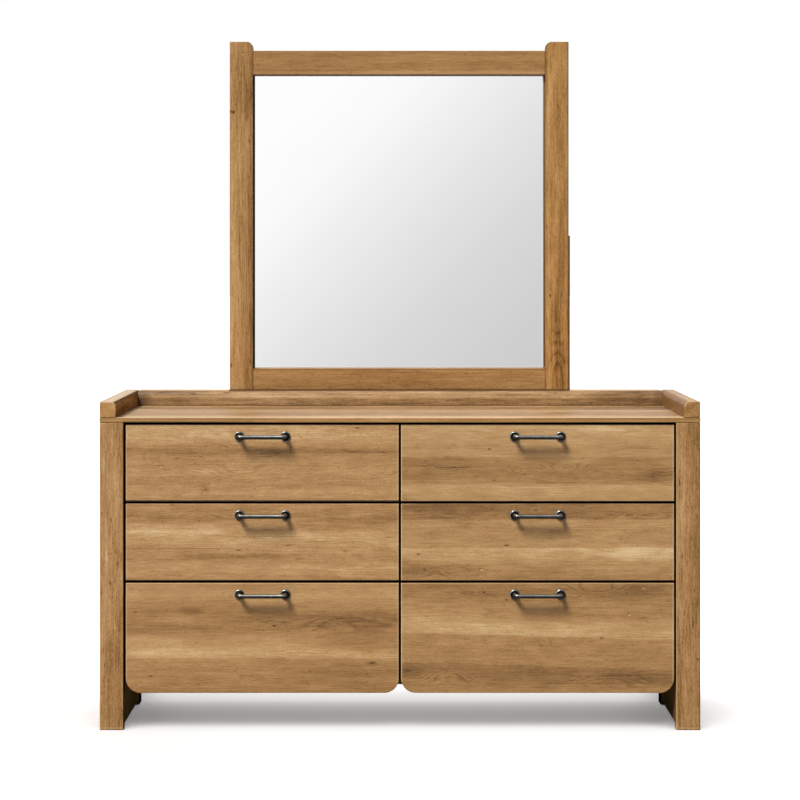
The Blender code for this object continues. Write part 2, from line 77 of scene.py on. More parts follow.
CLIP_REACH = 0.016
CLIP_THICKNESS = 0.0012
CLIP_SCREW_RISE = 0.0014

# Axes: across, into the dresser, and up
X, Y, Z = 0, 1, 2
SIDES = ("left", "right")
DRAWERS = {
    f"{row}_{side}": (row, side) for row in ("upper", "middle", "lower") for side in SIDES
}
HALF_TURN = Matrix.Rotation(math.radians(180), 4, "Z")


# Finishes


class Number:
    """A number that comes out of a node. Sums on it add Math nodes."""

    def __init__(self, sheet, socket):
        self.sheet = sheet
        self.socket = socket

    def math(self, operation, *values):
        return self.sheet.node("ShaderNodeMath", {"operation": operation}, values)

    def __add__(self, other):
        return self.math("ADD", self, other)

    def __sub__(self, other):
        return self.math("SUBTRACT", self, other)

    def __rsub__(self, other):
        return self.math("SUBTRACT", other, self)

    def __mul__(self, other):
        return self.math("MULTIPLY", self, other)

    def __truediv__(self, other):
        return self.math("DIVIDE", self, other)

    __radd__ = __add__
    __rmul__ = __mul__

    def root(self):
        return self.math("SQRT", self)

    def wave(self):
        """A wave of the number, from 0 to 1."""
        return self.math("SINE", self) * 0.5 + 0.5


class Sheet:
    """The nodes of a finish or of the world."""

    def __init__(self, tree):
        self.tree = tree

    def node(self, kind, settings=None, values=(), output=0):
        """Adds a node: its settings first, then the values or links of its sockets."""
        added = self.tree.nodes.new(kind)
        for key, setting in (settings or {}).items():
            if key == "stops":
                ramp = added.color_ramp
                while len(ramp.elements) < len(setting):
                    ramp.elements.new(1.0)
                for element, (position, colour) in zip(ramp.elements, setting):
                    element.position = position
                    element.color = colour
            else:
                setattr(added, key, setting)
        pairs = values.items() if isinstance(values, dict) else enumerate(values)
        for key, value in pairs:
            self.feed(added.inputs[key], value)
        return Number(self, added.outputs[output])

    def feed(self, socket, value):
        if isinstance(value, Number):
            self.tree.links.new(value.socket, socket)
        else:
            socket.default_value = value

    def seen(self):
        """1 for what the camera sees, straight on or by way of glass, and 0 for other light."""
        seen, *others = (
            self.node("ShaderNodeLightPath", output=f"Is {ray} Ray")
            for ray in ("Camera", "Glossy", "Transmission")
        )
        for ray in others:
            seen = seen.math("MAXIMUM", seen, ray)
        return seen

    def show(self, surface, output="Material Output"):
        self.feed(self.tree.nodes[output].inputs["Surface"], surface)


class Finish(Sheet):
    """One finish of the dresser: a material and the nodes that draw it."""

    def __init__(self, name, roughness=0.5, metallic=0.0, sheen=0.5):
        self.material = bpy.data.materials.new(name)
        self.material.use_nodes = True
        super().__init__(self.material.node_tree)
        self.shader = self.tree.nodes["Principled BSDF"]
        self.set("Roughness", roughness)
        self.set("Metallic", metallic)
        self.set("Specular IOR Level", sheen)
        self.place = self.node("ShaderNodeTexCoord", output="Object")
        self.axes = [self.node("ShaderNodeSeparateXYZ", {}, [self.place], n) for n in (X, Y, Z)]

    def set(self, socket, value):
        self.feed(self.shader.inputs[socket], value)

    def scaled(self, scale, shift=(0, 0, 0)):
        values = {"Vector": self.place, "Scale": scale, "Location": shift}
        return self.node("ShaderNodeMapping", {}, values)

    def noise(self, vector, scale, detail, roughness):
        """A soft random pattern, from -0.5 to 0.5."""
        values = {"Vector": vector, "Scale": scale, "Detail": detail, "Roughness": roughness}
        return self.node("ShaderNodeTexNoise", {}, values) - 0.5

    def specks(self, *noise):
        """The same pattern, stretched no way."""
        return self.noise(self.scaled((1, 1, 1)), *noise)

    def smooth(self, value, low, high):
        """A soft step from 0 at low to 1 at high."""
        if low > high:
            return 1 - self.smooth(value, high, low)
        settings = {"interpolation_type": "SMOOTHSTEP"}
        values = {"Value": value, "From Min": low, "From Max": high}
        return self.node("ShaderNodeMapRange", settings, values)

    def ramp(self, value, stops):
        return self.node("ShaderNodeValToRGB", {"stops": stops}, [value])

    def mix(self, factor, first, second):
        values = {0: factor, 6: first, 7: second}
        return self.node("ShaderNodeMix", {"data_type": "RGBA"}, values, 2)

    def bump(self, height, distance, strength):
        values = {"Height": height, "Distance": distance, "Strength": strength}
        self.set("Normal", self.node("ShaderNodeBump", {}, values))

    def mark(self, colour, marks):
        """Paints edges and joints: each mark has a tint, an amount and the limits it lies in.

        A limit runs along an axis, or out from an oval spot seen from the front.
        """
        for tint, amount, *limits in marks:
            mask = amount
            for where, start, end in limits:
                if isinstance(where, tuple):
                    value = self.away(where, self.axes[X], self.axes[Z])
                else:
                    value = self.axes[where]
                mask = self.smooth(value, start, end) * mask
            colour = self.mix(mask, colour, tint)
        return colour

    def away(self, spot, run, rise):
        """How far a point is from an oval spot: 1 on the oval's edge."""
        place_run, place_rise, length, height = spot
        run = (run - place_run) / length
        rise = (rise - place_rise) / height
        return (run * run + rise * rise).root()


def shade(red, green, blue):
    """A colour given as it is seen, from 0 to 255, as a colour for a socket."""
    levels = [((level / 255 + 0.055) / 1.055) ** 2.4 for level in (red, green, blue)]
    return (*levels, 1.0)


def grey(level):
    return (level, level, level, 1.0)


def tinted(stops, red, green, blue):
    """The same ramp, with its colours made stronger or weaker."""
    return tuple(
        (place, (colour[0] * red, colour[1] * green, colour[2] * blue, 1.0))
        for place, colour in stops
    )


OAK_STOPS = (
    (0.0, shade(84, 54, 26)),
    (0.25, shade(125, 88, 48)),
    (0.5, shade(160, 118, 71)),
    (0.75, shade(184, 143, 94)),
    (1.0, shade(212, 178, 130)),
)
KNOT_DARK = shade(44, 25, 12)
FLECK_PALE = shade(240, 214, 172)
# Painted light: highlights on arrises and tops, and shade on arrises, in gaps and deep faces,
# where pieces stand on others, in corners and on the inner faces of the feet
PAINTED_ARRIS_HIGHLIGHT = shade(226, 190, 140)
PAINTED_ARRIS_SHADE = shade(98, 64, 28)
PAINTED_DEEP_SHADE = shade(34, 21, 10)
PAINTED_CONTACT_SHADE = shade(58, 36, 17)
PAINTED_CORNER_SHADE = shade(70, 47, 26)
PAINTED_TOP_HIGHLIGHT = shade(236, 206, 168)
PAINTED_FOOT_SHADE = shade(104, 80, 48)
# Which axis the grain runs along, which one lies across the boards, and which goes into them
GRAIN_ORDER = {"X": (X, Z, Y), "X flat": (X, Y, Z), "Y": (Y, X, Z), "Z": (Z, X, Y)}


def make_oak(
    name,
    grain,
    level=0.55,
    boards=None,
    reach=None,
    tilt=0.0,
    heart=(0.0, 0.0, 0.0),
    heart_depth=0.02,
    figures=(),
    patches=(),
    knots=(),
    figure=0.2,
    drift=0.5,
    contrast=1.0,
    seed=0.0,
    stops=OAK_STOPS,
    marks=(),
    length=1.0,
    sheen=0.3,
    bold=0.4,
    wobble=1.0,
):
    """Rustic oak laminate: boards of several tones, rings round a heart, pores and knots."""
    oak = Finish(name, sheen=sheen)
    order = GRAIN_ORDER[grain]
    run, rise, deep = [oak.axes[index] for index in order]
    shift = (seed, seed * 1.7, seed * 2.3)

    def stretched(amount):
        scale = [1.0, 1.0, 1.0]
        scale[order[0]] = amount / length
        return oak.scaled(scale, shift)

    warp = oak.noise(stretched(0.3), 17, 3, 0.6)
    broad = oak.noise(stretched(0.1), 24, 2, 0.5)
    cloud = oak.noise(stretched(0.3), 52, 2, 0.5)
    streak = oak.noise(stretched(0.055), 150, 4, 0.65)
    mottle = oak.noise(stretched(0.13), 270, 3, 0.7)
    fibre = oak.noise(stretched(0.04), 850, 2, 0.6)
    fleck = oak.noise(stretched(0.5), 560, 2, 0.6)
    dash = oak.smooth(oak.noise(stretched(0.2), 330, 2, 0.5), 0.15, 0.26)

    if boards:
        low, high = reach
        wander = rise + run * tilt + warp * 0.007
        tones = [(place, grey(value)) for place, value in boards]
        tone = oak.ramp((wander - low) / (high - low), tones)
        lift = tone * 0.03
        tone = tone + broad * (drift * 0.35)
    else:
        tone = broad * drift + level
        lift = 0

    dark = 0
    pale = 0
    halo = 0
    for *spot, depth in knots:
        near = oak.away(spot, run, rise) + (warp + cloud) * 0.9
        if depth < 0:
            pale = oak.smooth(near, 1.2, 0.5) * -depth + pale
            continue
        dark = oak.smooth(near, 1.15, 0.6) * depth + dark
        halo = oak.smooth(near, 2.6, 0.6) * (depth * 0.17) + halo
        lift = oak.smooth(near, 5.5, 0.0) * (spot[3] * 5) + lift
    for *spot, amount in patches:
        near = oak.away(spot, run, rise) + warp * 1.4
        tone = oak.smooth(near, 1.3, 0.0) * amount + tone
    zone = oak.smooth(broad + warp * 0.6, -0.05, 0.2) * figure + 0.12
    for *spot, rings in figures:
        near = oak.away(spot, run, rise) + warp * 0.8
        lift = oak.smooth(near, 1.25, 0.0) * (rings * 0.006) + lift
        zone = oak.smooth(near, 1.5, 0.7) * bold + zone

    heart_run, heart_rise, heart_deep = [heart[index] for index in order]
    distance = run - heart_run
    distance = (distance * distance + 0.006).root() * 0.06
    side = rise - heart_rise
    back = deep - heart_deep + distance + heart_depth
    radius = (side * side + back * back).root() + (warp * 0.015 + cloud * 0.005) * wobble + lift
    coarse = (radius * 1080 + streak * 2.4).wave()
    fine = (radius * 2600 + streak * 3.5 + mottle * 3).wave()
    rings = coarse * coarse * coarse + fine * 0.3
    pores = oak.smooth(fibre, 0.1, 0.22)

    texture = cloud * 0.3 + streak * 0.44 + mottle * 0.42 + fibre * 0.32 + fleck * 0.44
    texture = texture - pores * 0.1 - dash * 0.32
    tone = tone - (rings - 0.46) * zone * 0.27 + texture * contrast - halo
    colour = oak.ramp(tone, stops)
    if knots:
        colour = oak.mix(dark, colour, KNOT_DARK)
        colour = oak.mix(pale, colour, FLECK_PALE)
    oak.set("Base Color", oak.mark(colour, marks))
    oak.set("Roughness", streak * 0.25 + rings * 0.05 + pores * 0.1 + 0.46)
    oak.bump(streak * 0.8 + fibre * 0.5 - pores * 0.5 - rings * 0.2, 0.00016, 0.5)
    return oak.material


# The wood of each drawer front. Its boards have a tone at heights from its lower edge (0) to its
# upper edge (1), and may run at a tilt. The contrast is how strongly the fine grain shows, and
# the heart is where the rings come from. Figures are ovals that the rings close into, patches
# are softer lights and darks, and knots are knots and cracks, or with a minus the pale flecks in
# them. These three give a place across, a height, a half length, a half height, and the number
# of rings, the change of tone or the darkness.
FRONTS = {
    "upper_left": {
        "contrast": 1.12,
        "heart": (-0.397, -0.16, 0.52),
        "boards": (
            (0.0, 0.55), (0.12, 0.7), (0.22, 0.58), (0.42, 0.66), (0.58, 0.58), (0.655, 0.42),
            (0.72, 0.58), (0.85, 0.82), (1.0, 0.74),
        ),
        "figures": (
            (-0.393, 0.635, 0.11, 0.03, 4), (-0.03, 0.634, 0.05, 0.014, 2),
            (-0.152, 0.712, 0.03, 0.014, 2),
        ),
        "patches": (
            (-0.3, 0.7, 0.2, 0.018, -0.1), (-0.62, 0.72, 0.1, 0.02, 0.1),
            (-0.489, 0.6, 0.018, 0.022, -0.18), (-0.1, 0.692, 0.12, 0.008, -0.04),
            (-0.08, 0.752, 0.13, 0.012, -0.13),
        ),
        "knots": (
            (-0.107, 0.7546, 0.006, 0.0014, 0.9), (-0.489, 0.6, 0.008, 0.003, 0.3),
            (-0.487, 0.592, 0.003, 0.0016, -0.5), (-0.491, 0.603, 0.0016, 0.0024, -0.35),
            (-0.6, 0.661, 0.006, 0.0018, 0.22), (-0.597, 0.657, 0.004, 0.001, -0.45),
            (-0.54, 0.6912, 0.13, 0.0007, 0.36), (-0.1, 0.6925, 0.1, 0.0007, 0.3),
        ),
    },
    "middle_left": {
        "contrast": 1.25,
        "heart": (-0.15, -0.17, 0.62),
        "boards": (
            (0.0, 0.54), (0.17, 0.73), (0.28, 0.56), (0.42, 0.66), (0.53, 0.7), (0.63, 0.76),
            (0.76, 0.55), (0.825, 0.53), (0.92, 0.54), (1.0, 0.54),
        ),
        "figures": ((-0.25, 0.545, 0.09, 0.014, 2), (-0.5, 0.54, 0.08, 0.012, 2)),
        "patches": (
            (-0.6, 0.497, 0.15, 0.022, 0.2), (-0.04, 0.532, 0.09, 0.03, -0.1),
            (-0.16, 0.502, 0.14, 0.012, -0.16), (-0.52, 0.532, 0.09, 0.01, -0.12),
            (-0.4, 0.433, 0.2, 0.007, -0.12),
        ),
        "knots": (
            (-0.5688, 0.5625, 0.004, 0.0013, 0.8), (-0.4025, 0.4495, 0.007, 0.0014, 0.85),
            (-0.279, 0.4618, 0.008, 0.0013, 0.75), (-0.137, 0.4476, 0.005, 0.0012, 0.6),
            (-0.49, 0.4532, 0.1, 0.0008, 0.5), (-0.03, 0.482, 0.012, 0.0009, 0.6),
            (-0.34, 0.3876, 0.01, 0.0008, 0.45),
        ),
    },
    "lower_left": {
        "contrast": 1.0,
        "heart": (-0.13, -0.16, 0.4),
        "boards": (
            (0.0, 0.4), (0.1, 0.52), (0.29, 0.56), (0.312, 0.57), (0.322, 0.76), (0.42, 0.76),
            (0.49, 0.68), (0.57, 0.46), (0.74, 0.46), (0.83, 0.58), (0.89, 0.7), (1.0, 0.58),
        ),
        "figures": ((-0.09, 0.28, 0.3, 0.032, 6), (-0.25, 0.2, 0.08, 0.012, 1)),
        "patches": (
            (-0.12, 0.277, 0.19, 0.022, -0.2), (-0.1, 0.14, 0.2, 0.035, -0.16),
            (-0.1, 0.214, 0.18, 0.03, -0.28), (-0.58, 0.276, 0.13, 0.02, 0.14),
            (-0.6, 0.19, 0.17, 0.02, 0.14), (-0.52, 0.297, 0.045, 0.012, -0.16),
            (-0.2, 0.302, 0.18, 0.014, 0.1),
        ),
        "knots": (
            (-0.3141, 0.2604, 0.0046, 0.0019, 1.0), (-0.0695, 0.168, 0.0078, 0.0016, 0.8),
            (-0.6227, 0.1346, 0.0032, 0.0013, 0.95), (-0.661, 0.295, 0.005, 0.0018, 0.6),
            (-0.509, 0.217, 0.0018, 0.001, 0.7), (-0.2243, 0.147, 0.003, 0.0012, 0.5),
            (-0.6, 0.261, 0.06, 0.0007, 0.4),
        ),
    },
    "upper_right": {
        "contrast": 0.95,
        "heart": (0.4, -0.16, 0.54),
        "boards": (
            (0.0, 0.58), (0.19, 0.74), (0.25, 0.52), (0.36, 0.42), (0.55, 0.46), (0.572, 0.48),
            (0.59, 0.66), (0.7, 0.6), (0.8, 0.7), (1.0, 0.76),
        ),
        "figures": (
            (0.412, 0.65, 0.08, 0.022, 4), (0.115, 0.647, 0.06, 0.014, 3),
            (0.29, 0.642, 0.03, 0.012, 2), (0.66, 0.634, 0.05, 0.024, 1.5),
        ),
        "patches": (
            (0.645, 0.636, 0.06, 0.024, -0.15), (0.45, 0.67, 0.06, 0.016, 0.12),
            (0.1, 0.675, 0.08, 0.014, -0.1), (0.5, 0.755, 0.09, 0.012, 0.14),
            (0.21, 0.757, 0.05, 0.01, 0.14),
        ),
        "knots": (
            (0.2235, 0.7022, 0.0046, 0.0015, 0.95), (0.2, 0.7026, 0.014, 0.0007, 0.4),
            (0.125, 0.656, 0.03, 0.001, 0.75), (0.06, 0.6603, 0.05, 0.0007, 0.45),
            (0.39, 0.618, 0.06, 0.0009, 0.35), (0.235, 0.624, 0.004, 0.0012, 0.6),
            (0.31, 0.638, 0.005, 0.0012, 0.5), (0.416, 0.649, 0.006, 0.001, -0.25),
        ),
    },
    "middle_right": {
        "contrast": 1.0,
        "heart": (0.63, -0.17, 0.6),
        "boards": (
            (0.0, 0.44), (0.19, 0.56), (0.3, 0.74), (0.415, 0.84), (0.435, 0.64), (0.63, 0.56),
            (0.785, 0.6), (0.8, 0.42), (1.0, 0.32),
        ),
        "figures": (
            (0.62, 0.545, 0.1, 0.018, 4), (0.34, 0.553, 0.03, 0.01, 2),
            (0.09, 0.41, 0.05, 0.034, 3),
        ),
        "patches": (
            (0.11, 0.552, 0.12, 0.018, -0.16), (0.03, 0.41, 0.06, 0.03, -0.15),
            (0.6, 0.44, 0.09, 0.02, 0.16), (0.5, 0.407, 0.16, 0.012, 0.1),
            (0.1, 0.4, 0.13, 0.02, -0.12), (0.1, 0.449, 0.13, 0.02, -0.1),
            (0.58, 0.556, 0.1, 0.012, 0.14),
        ),
        "knots": (
            (0.2666, 0.4618, 0.0068, 0.0015, 0.9), (0.0461, 0.439, 0.0045, 0.0018, 0.9),
            (0.0618, 0.4015, 0.0024, 0.0018, 0.7), (0.201, 0.403, 0.0045, 0.0016, 0.5),
            (0.2035, 0.4, 0.003, 0.0018, -0.6), (0.09, 0.531, 0.05, 0.0008, 0.4),
        ),
    },
    "lower_right": {
        "contrast": 0.9,
        "heart": (0.12, -0.16, 0.3),
        "tilt": 0.027,
        "boards": (
            (0.0, 0.52), (0.11, 0.42), (0.2, 0.34), (0.275, 0.34), (0.292, 0.5), (0.44, 0.54),
            (0.54, 0.54), (0.555, 0.76), (0.655, 0.77), (0.72, 0.66), (0.76, 0.56), (0.81, 0.56),
            (0.87, 0.48), (1.0, 0.42),
        ),
        "figures": (
            (0.49, 0.346, 0.1, 0.022, 4), (0.12, 0.143, 0.09, 0.032, 5),
            (0.52, 0.13, 0.12, 0.022, 4), (0.17, 0.338, 0.06, 0.012, 2),
        ),
        "patches": (
            (0.57, 0.345, 0.16, 0.022, -0.15), (0.4, 0.285, 0.24, 0.022, -0.13),
            (0.6, 0.13, 0.12, 0.022, -0.13), (0.2, 0.34, 0.1, 0.018, -0.12),
            (0.03, 0.15, 0.05, 0.02, -0.16), (0.6, 0.264, 0.1, 0.034, -0.12),
        ),
        "knots": (
            (0.209, 0.344, 0.0038, 0.0015, 0.95), (0.2655, 0.3255, 0.003, 0.0016, 0.95),
            (0.5035, 0.2304, 0.0046, 0.0016, 0.75), (0.6, 0.2322, 0.08, 0.0007, 0.35),
            (0.5745, 0.3128, 0.003, 0.0009, 0.5), (0.606, 0.2322, 0.003, 0.0009, 0.5),
            (0.3524, 0.212, 0.0045, 0.0012, 0.5), (0.066, 0.2848, 0.0026, 0.0011, 0.8),
            (0.572, 0.291, 0.004, 0.0014, 0.45), (0.573, 0.288, 0.0024, 0.0016, -0.6),
            (0.608, 0.354, 0.004, 0.0012, -0.4), (0.023, 0.148, 0.006, 0.0014, 0.5),
            (0.4, 0.117, 0.05, 0.0009, 0.4), (0.55, 0.137, 0.04, 0.0009, 0.4),
        ),
    },
}
FRONT_STOPS = {
    "left": tinted(OAK_STOPS, 0.99, 1.015, 1.05),
    "right": tinted(OAK_STOPS, 1.0, 1.05, 1.1),
}


def make_slab_oak():
    """The top: the same oak, with a pale strip of painted highlight along its front, and painted
    shade on its arrises and along the gaps below it.
    """
    low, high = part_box("top_slab")
    upper_side = (Z, high.z - 0.0012, high.z - 0.0001)
    under_arris = ((Z, high.z - 0.0002, high.z - 0.001), (Z, high.z - 0.0046, high.z - 0.0036))
    front = (Y, low.y + 0.004, low.y + 0.002)
    bay_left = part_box("front_stile_left")[1].x
    bay_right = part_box("front_stile_right")[0].x
    bays = (
        (X, bay_left - 0.0005, bay_left + 0.0005),
        (X, bay_right + 0.0005, bay_right - 0.0005),
    )
    return make_oak(
        "oak of the top",
        "X flat",
        boards=(
            (0.0, 0.5), (0.1, 0.58), (0.15, 0.52), (0.22, 0.42), (0.3, 0.53), (0.4, 0.56),
            (0.5, 0.68), (0.56, 0.5), (0.64, 0.27), (0.72, 0.32), (0.8, 0.5), (1.0, 0.5),
        ),
        reach=(low.y, high.y),
        heart=(0.3, 0.05, 0.72),
        heart_depth=0.03,
        drift=1.1,
        contrast=2.3,
        length=2.0,
        figure=0.5,
        seed=3.1,
        patches=((-0.6, 0.0, 0.2, 0.3, 0.14), (0.0, 0.0, 0.35, 0.3, -0.07)),
        stops=tinted(OAK_STOPS, 0.77, 0.81, 0.88),
        sheen=0.38,
        # Painted highlight along the front, painted shade under the front arris and at the gaps
        # below
        marks=(
            (shade(232, 198, 150), 0.3, (Y, low.y + 0.075, low.y + 0.02), upper_side),
            (shade(240, 208, 164), 0.6, (Y, low.y + 0.0065, low.y + 0.0025), upper_side),
            (shade(172, 124, 62), 0.55, (Y, low.y + 0.0022, low.y + 0.0008)),
            (PAINTED_ARRIS_SHADE, 0.55, *under_arris, (X, -0.2, -0.4), front),
            (PAINTED_ARRIS_SHADE, 0.6, *under_arris, (X, 0.2, 0.4), front),
            (PAINTED_DEEP_SHADE, 0.85, (Z, low.z + 0.0038, low.z + 0.0022), (X, -0.3, -0.5), *bays, front),
            (PAINTED_DEEP_SHADE, 0.6, (Z, low.z + 0.0028, low.z + 0.0012), (X, 0.3, 0.5), *bays, front),
            (PAINTED_ARRIS_SHADE, 0.5, (X, low.x + 0.0022, low.x + 0.0008), front),
        ),
    )


def make_board(
    name, pale, dark, speck_scale, roughness, grain, lines, shaded_front=None, sheen=0.4
):
    """Plain lined or pressed board: fine specks, and faint lines along its length."""
    board = Finish(name, sheen=sheen)
    scale = [1.0, 1.0, 1.0]
    scale[GRAIN_ORDER[grain][0]] = 0.06
    specks = board.specks(speck_scale, 3, 0.65)
    drawn = board.noise(board.scaled(scale), speck_scale * 0.5, 3, 0.6)
    clouds = board.specks(7, 2, 0.5)
    tone = specks * (1 - lines) + drawn * lines * 1.4 + clouds * 0.5 + 0.5
    colour = board.ramp(tone, ((0.2, dark), (0.8, pale)))
    # Painted shade: the front edge, where given, is near black, as the gap before it lies in
    # shade
    if shaded_front is not None:
        front = (Y, shaded_front + 0.0012, shaded_front + 0.0006)
        colour = board.mark(colour, [(shade(16, 13, 11), 1.0, front)])
    board.set("Base Color", colour)
    board.set("Roughness", specks * 0.2 + clouds * 0.1 + roughness)
    board.bump(specks + drawn, 0.00012, 0.5)
    return board.material


def make_pewter():
    """Burnished dark metal of the pulls, brighter for wear and for painted highlight."""
    metal = Finish("burnished pewter", metallic=1.0)
    brushed = metal.noise(metal.scaled((0.25, 1, 1)), 900, 3, 0.6)
    clouds = metal.specks(120, 3, 0.6)
    rubbed = metal.node("ShaderNodeAttribute", {"attribute_name": "rubbed"}, (), "Fac")
    tone = clouds * 0.4 + brushed * 0.25 + rubbed * 0.9 + 0.05
    stops = ((0.0, grey(0.01)), (0.4, (0.045, 0.045, 0.042, 1)), (1.0, (0.3, 0.3, 0.28, 1)))
    metal.set("Base Color", metal.ramp(tone, stops))
    metal.set("Roughness", 0.38 - rubbed * 0.06 + brushed * 0.16 + clouds * 0.1)
    metal.bump(brushed + clouds * 0.6, 0.00006, 0.5)
    return metal.material


def make_steel():
    """Zinc plated steel of the screws and clips."""
    metal = Finish("zinc plated steel", metallic=1.0)
    grains = metal.specks(700, 3, 0.6)
    clouds = metal.specks(60, 2, 0.5)
    tone = grains * 0.5 + clouds * 0.6 + 0.5
    stops = ((0.2, (0.4, 0.39, 0.36, 1)), (0.8, (0.62, 0.61, 0.57, 1)))
    metal.set("Base Color", metal.ramp(tone, stops))
    metal.set("Roughness", grains * 0.2 + clouds * 0.1 + 0.34)
    metal.bump(grains, 0.00005, 0.4)
    return metal.material


def make_plastic(name, pale, dark, roughness, sheen=0.5):
    """Moulded plastic with a fine pebbled skin."""
    plastic = Finish(name, sheen=sheen)
    pebbles = plastic.specks(1500, 2, 0.5)
    clouds = plastic.specks(25, 2, 0.5)
    tone = pebbles * 0.6 + clouds * 0.5 + 0.5
    plastic.set("Base Color", plastic.ramp(tone, ((0.2, dark), (0.8, pale))))
    plastic.set("Roughness", clouds * 0.16 + pebbles * 0.1 + roughness)
    plastic.bump(pebbles, 0.00008, 0.5)
    return plastic.material


def make_rim_shade_and_reflection(low, high):
    """Painted shade and reflection round the glass: near black at the left and top, a brown
    reflection of the lit post at the right, and a pale mirror-like reflection at the right and
    foot.
    """
    edge = Finish("painted shade and reflection round the glass", sheen=0.2)
    across, height = edge.axes[X], edge.axes[Z]
    grit = edge.specks(900, 3, 0.6)
    cloud = edge.specks(14, 2, 0.5)
    right = edge.smooth(across, high.x - 0.009, high.x - 0.0084)
    foot = edge.smooth(height, low.z + 0.0046, low.z + 0.0038)
    foot = foot * edge.smooth(across, low.x + 0.0036, low.x + 0.0042)
    painted_reflection = right * edge.smooth(across, high.x - 0.0042, high.x - 0.0048)
    painted_reflection = painted_reflection.math("MAXIMUM", painted_reflection, foot)
    tone = grit * 0.5 + cloud * 0.6 + 0.5
    colour = edge.ramp(tone, ((0.2, shade(18, 14, 9)), (0.8, shade(32, 24, 16))))
    colour = edge.mix(right, colour, shade(120, 90, 56))
    edge.set("Base Color", edge.mix(painted_reflection, colour, shade(224, 226, 228)))
    edge.set("Metallic", painted_reflection)
    edge.set("Roughness", grit * 0.2 + 0.55 - painted_reflection * 0.25)
    edge.bump(grit, 0.00004, 0.4)
    return edge.material


def make_mirror():
    """Silvered glass with a breath of haze."""
    glass = Finish("mirror glass", metallic=1.0)
    haze = glass.specks(5, 3, 0.6)
    stops = ((0.2, grey(0.975)), (0.8, grey(0.99)))
    glass.set("Base Color", glass.ramp(haze + 0.5, stops))
    glass.set("Roughness", glass.smooth(haze, -0.2, 0.4) * 0.012 + 0.004)
    return glass.material


# Modelling


def begin(mesh_operator, **settings):
    """Adds a primitive with nothing else selected, and leaves its place in its mesh."""
    if bpy.context.object and bpy.context.object.mode != "OBJECT":
        bpy.ops.object.mode_set(mode="OBJECT")
    bpy.ops.object.select_all(action="DESELECT")
    mesh_operator(**settings)
    bpy.ops.object.transform_apply(location=True, rotation=True, scale=True)
    return bpy.context.object


def begin_disc(vertices, radius, thickness, depth):
    """A disc that faces the front, its middle at a depth."""
    return begin(
        bpy.ops.mesh.primitive_cylinder_add,
        vertices=vertices,
        radius=radius,
        depth=thickness,
        location=(0, depth, 0),
        rotation=(math.radians(90), 0, 0),
    )


def choose(piece):
    """Makes the piece the active one, and the only one selected."""
    bpy.ops.object.select_all(action="DESELECT")
    piece.select_set(True)
    bpy.context.view_layer.objects.active = piece


def edit(piece):
    choose(piece)
    bpy.ops.object.mode_set(mode="EDIT")
    bpy.ops.mesh.select_all(action="DESELECT")


def pick(piece, kind, test):
    """Selects the piece's verts, edges or faces that pass the test."""
    kinds = ("verts", "edges", "faces")
    bpy.context.tool_settings.mesh_select_mode = [kind == other for other in kinds]
    bpy.ops.mesh.select_all(action="DESELECT")
    shape = bmesh.from_edit_mesh(piece.data)
    for part in getattr(shape, kind):
        if test(part):
            part.select_set(True)
    bmesh.update_edit_mesh(piece.data)


def leave_edit():
    bpy.context.tool_settings.mesh_select_mode = (True, False, False)
    bpy.ops.mesh.select_all(action="SELECT")
    bpy.ops.mesh.remove_doubles(threshold=0.00001)
    bpy.ops.mesh.normals_make_consistent(inside=False)
    bpy.ops.object.mode_set(mode="OBJECT")


def extrude(across, into, up):
    """Extrudes what is selected, and moves it."""
    bpy.ops.mesh.extrude_region_move(TRANSFORM_OT_translate={"value": (across, into, up)})


def shade_smooth(angle):
    """Shades the active piece smooth, but for edges sharper than the angle in degrees."""
    bpy.ops.object.shade_smooth_by_angle(angle=math.radians(angle))


def soften(piece, width):
    """Rounds the piece's edges a little and shades it smooth."""
    edges = piece.modifiers.new("soft edges", "BEVEL")
    edges.width = width
    edges.segments = 2
    edges.limit_method = "ANGLE"
    edges.angle_limit = math.radians(30)
    choose(piece)
    bpy.ops.object.modifier_apply(modifier=edges.name)
    shade_smooth(35)


def set_down(pattern, name, place, material, body, turn=None):
    """Copies a modelled piece, with a mesh of its own, to its place on a body."""
    mesh = pattern.data.copy()
    mesh.name = name
    mesh.transform(Matrix.Translation(place) @ (turn or Matrix.Identity(4)))
    mesh.materials.clear()
    mesh.materials.append(material)
    piece = bpy.data.objects.new(name, mesh)
    bpy.context.scene.collection.objects.link(piece)
    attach(piece, body)
    return piece


def model_bar():
    """The pull's round bar, bent back at both ends, its elbows a little swollen."""
    half = PULL_SPACING / 2
    bend = PULL_STANDOFF - ELBOW_RADIUS
    bar = begin(
        bpy.ops.mesh.primitive_circle_add,
        vertices=32,
        radius=BAR_RADIUS,
        fill_type="NGON",
        location=(-half, -ROSETTE_EDGE, 0),
        rotation=(math.radians(90), 0, 0),
    )
    edit(bar)
    bpy.ops.mesh.select_all(action="SELECT")
    reach = bend - ROSETTE_EDGE
    extrude(0, -reach, 0)
    quarter = math.radians(90)
    steps = 12
    centres = []
    for side in (-1, 1):
        centre = Vector((side * (half - ELBOW_RADIUS), -bend, 0))
        bpy.ops.mesh.spin(steps=steps, angle=-quarter, center=centre, axis=(0, 0, 1))
        start = math.radians(180) if side < 0 else math.radians(270)
        for step in range(1, steps):
            angle = start + quarter * step / steps
            arm = Vector((math.cos(angle), math.sin(angle), 0))
            centres.append((centre + arm * ELBOW_RADIUS, step / steps))
        if side < 0:
            extrude(PULL_SPACING - 2 * ELBOW_RADIUS, 0, 0)
    extrude(0, reach, 0)
    for centre, share in centres:
        swell = 1 + ELBOW_SWELL * math.sin(math.pi * share) ** 0.7
        pick(bar, "verts", lambda v: abs((v.co - centre).length - BAR_RADIUS) < 0.00002)
        bpy.ops.transform.resize(value=(swell, swell, swell), center_override=centre)
    leave_edit()
    shade_smooth(50)
    return bar


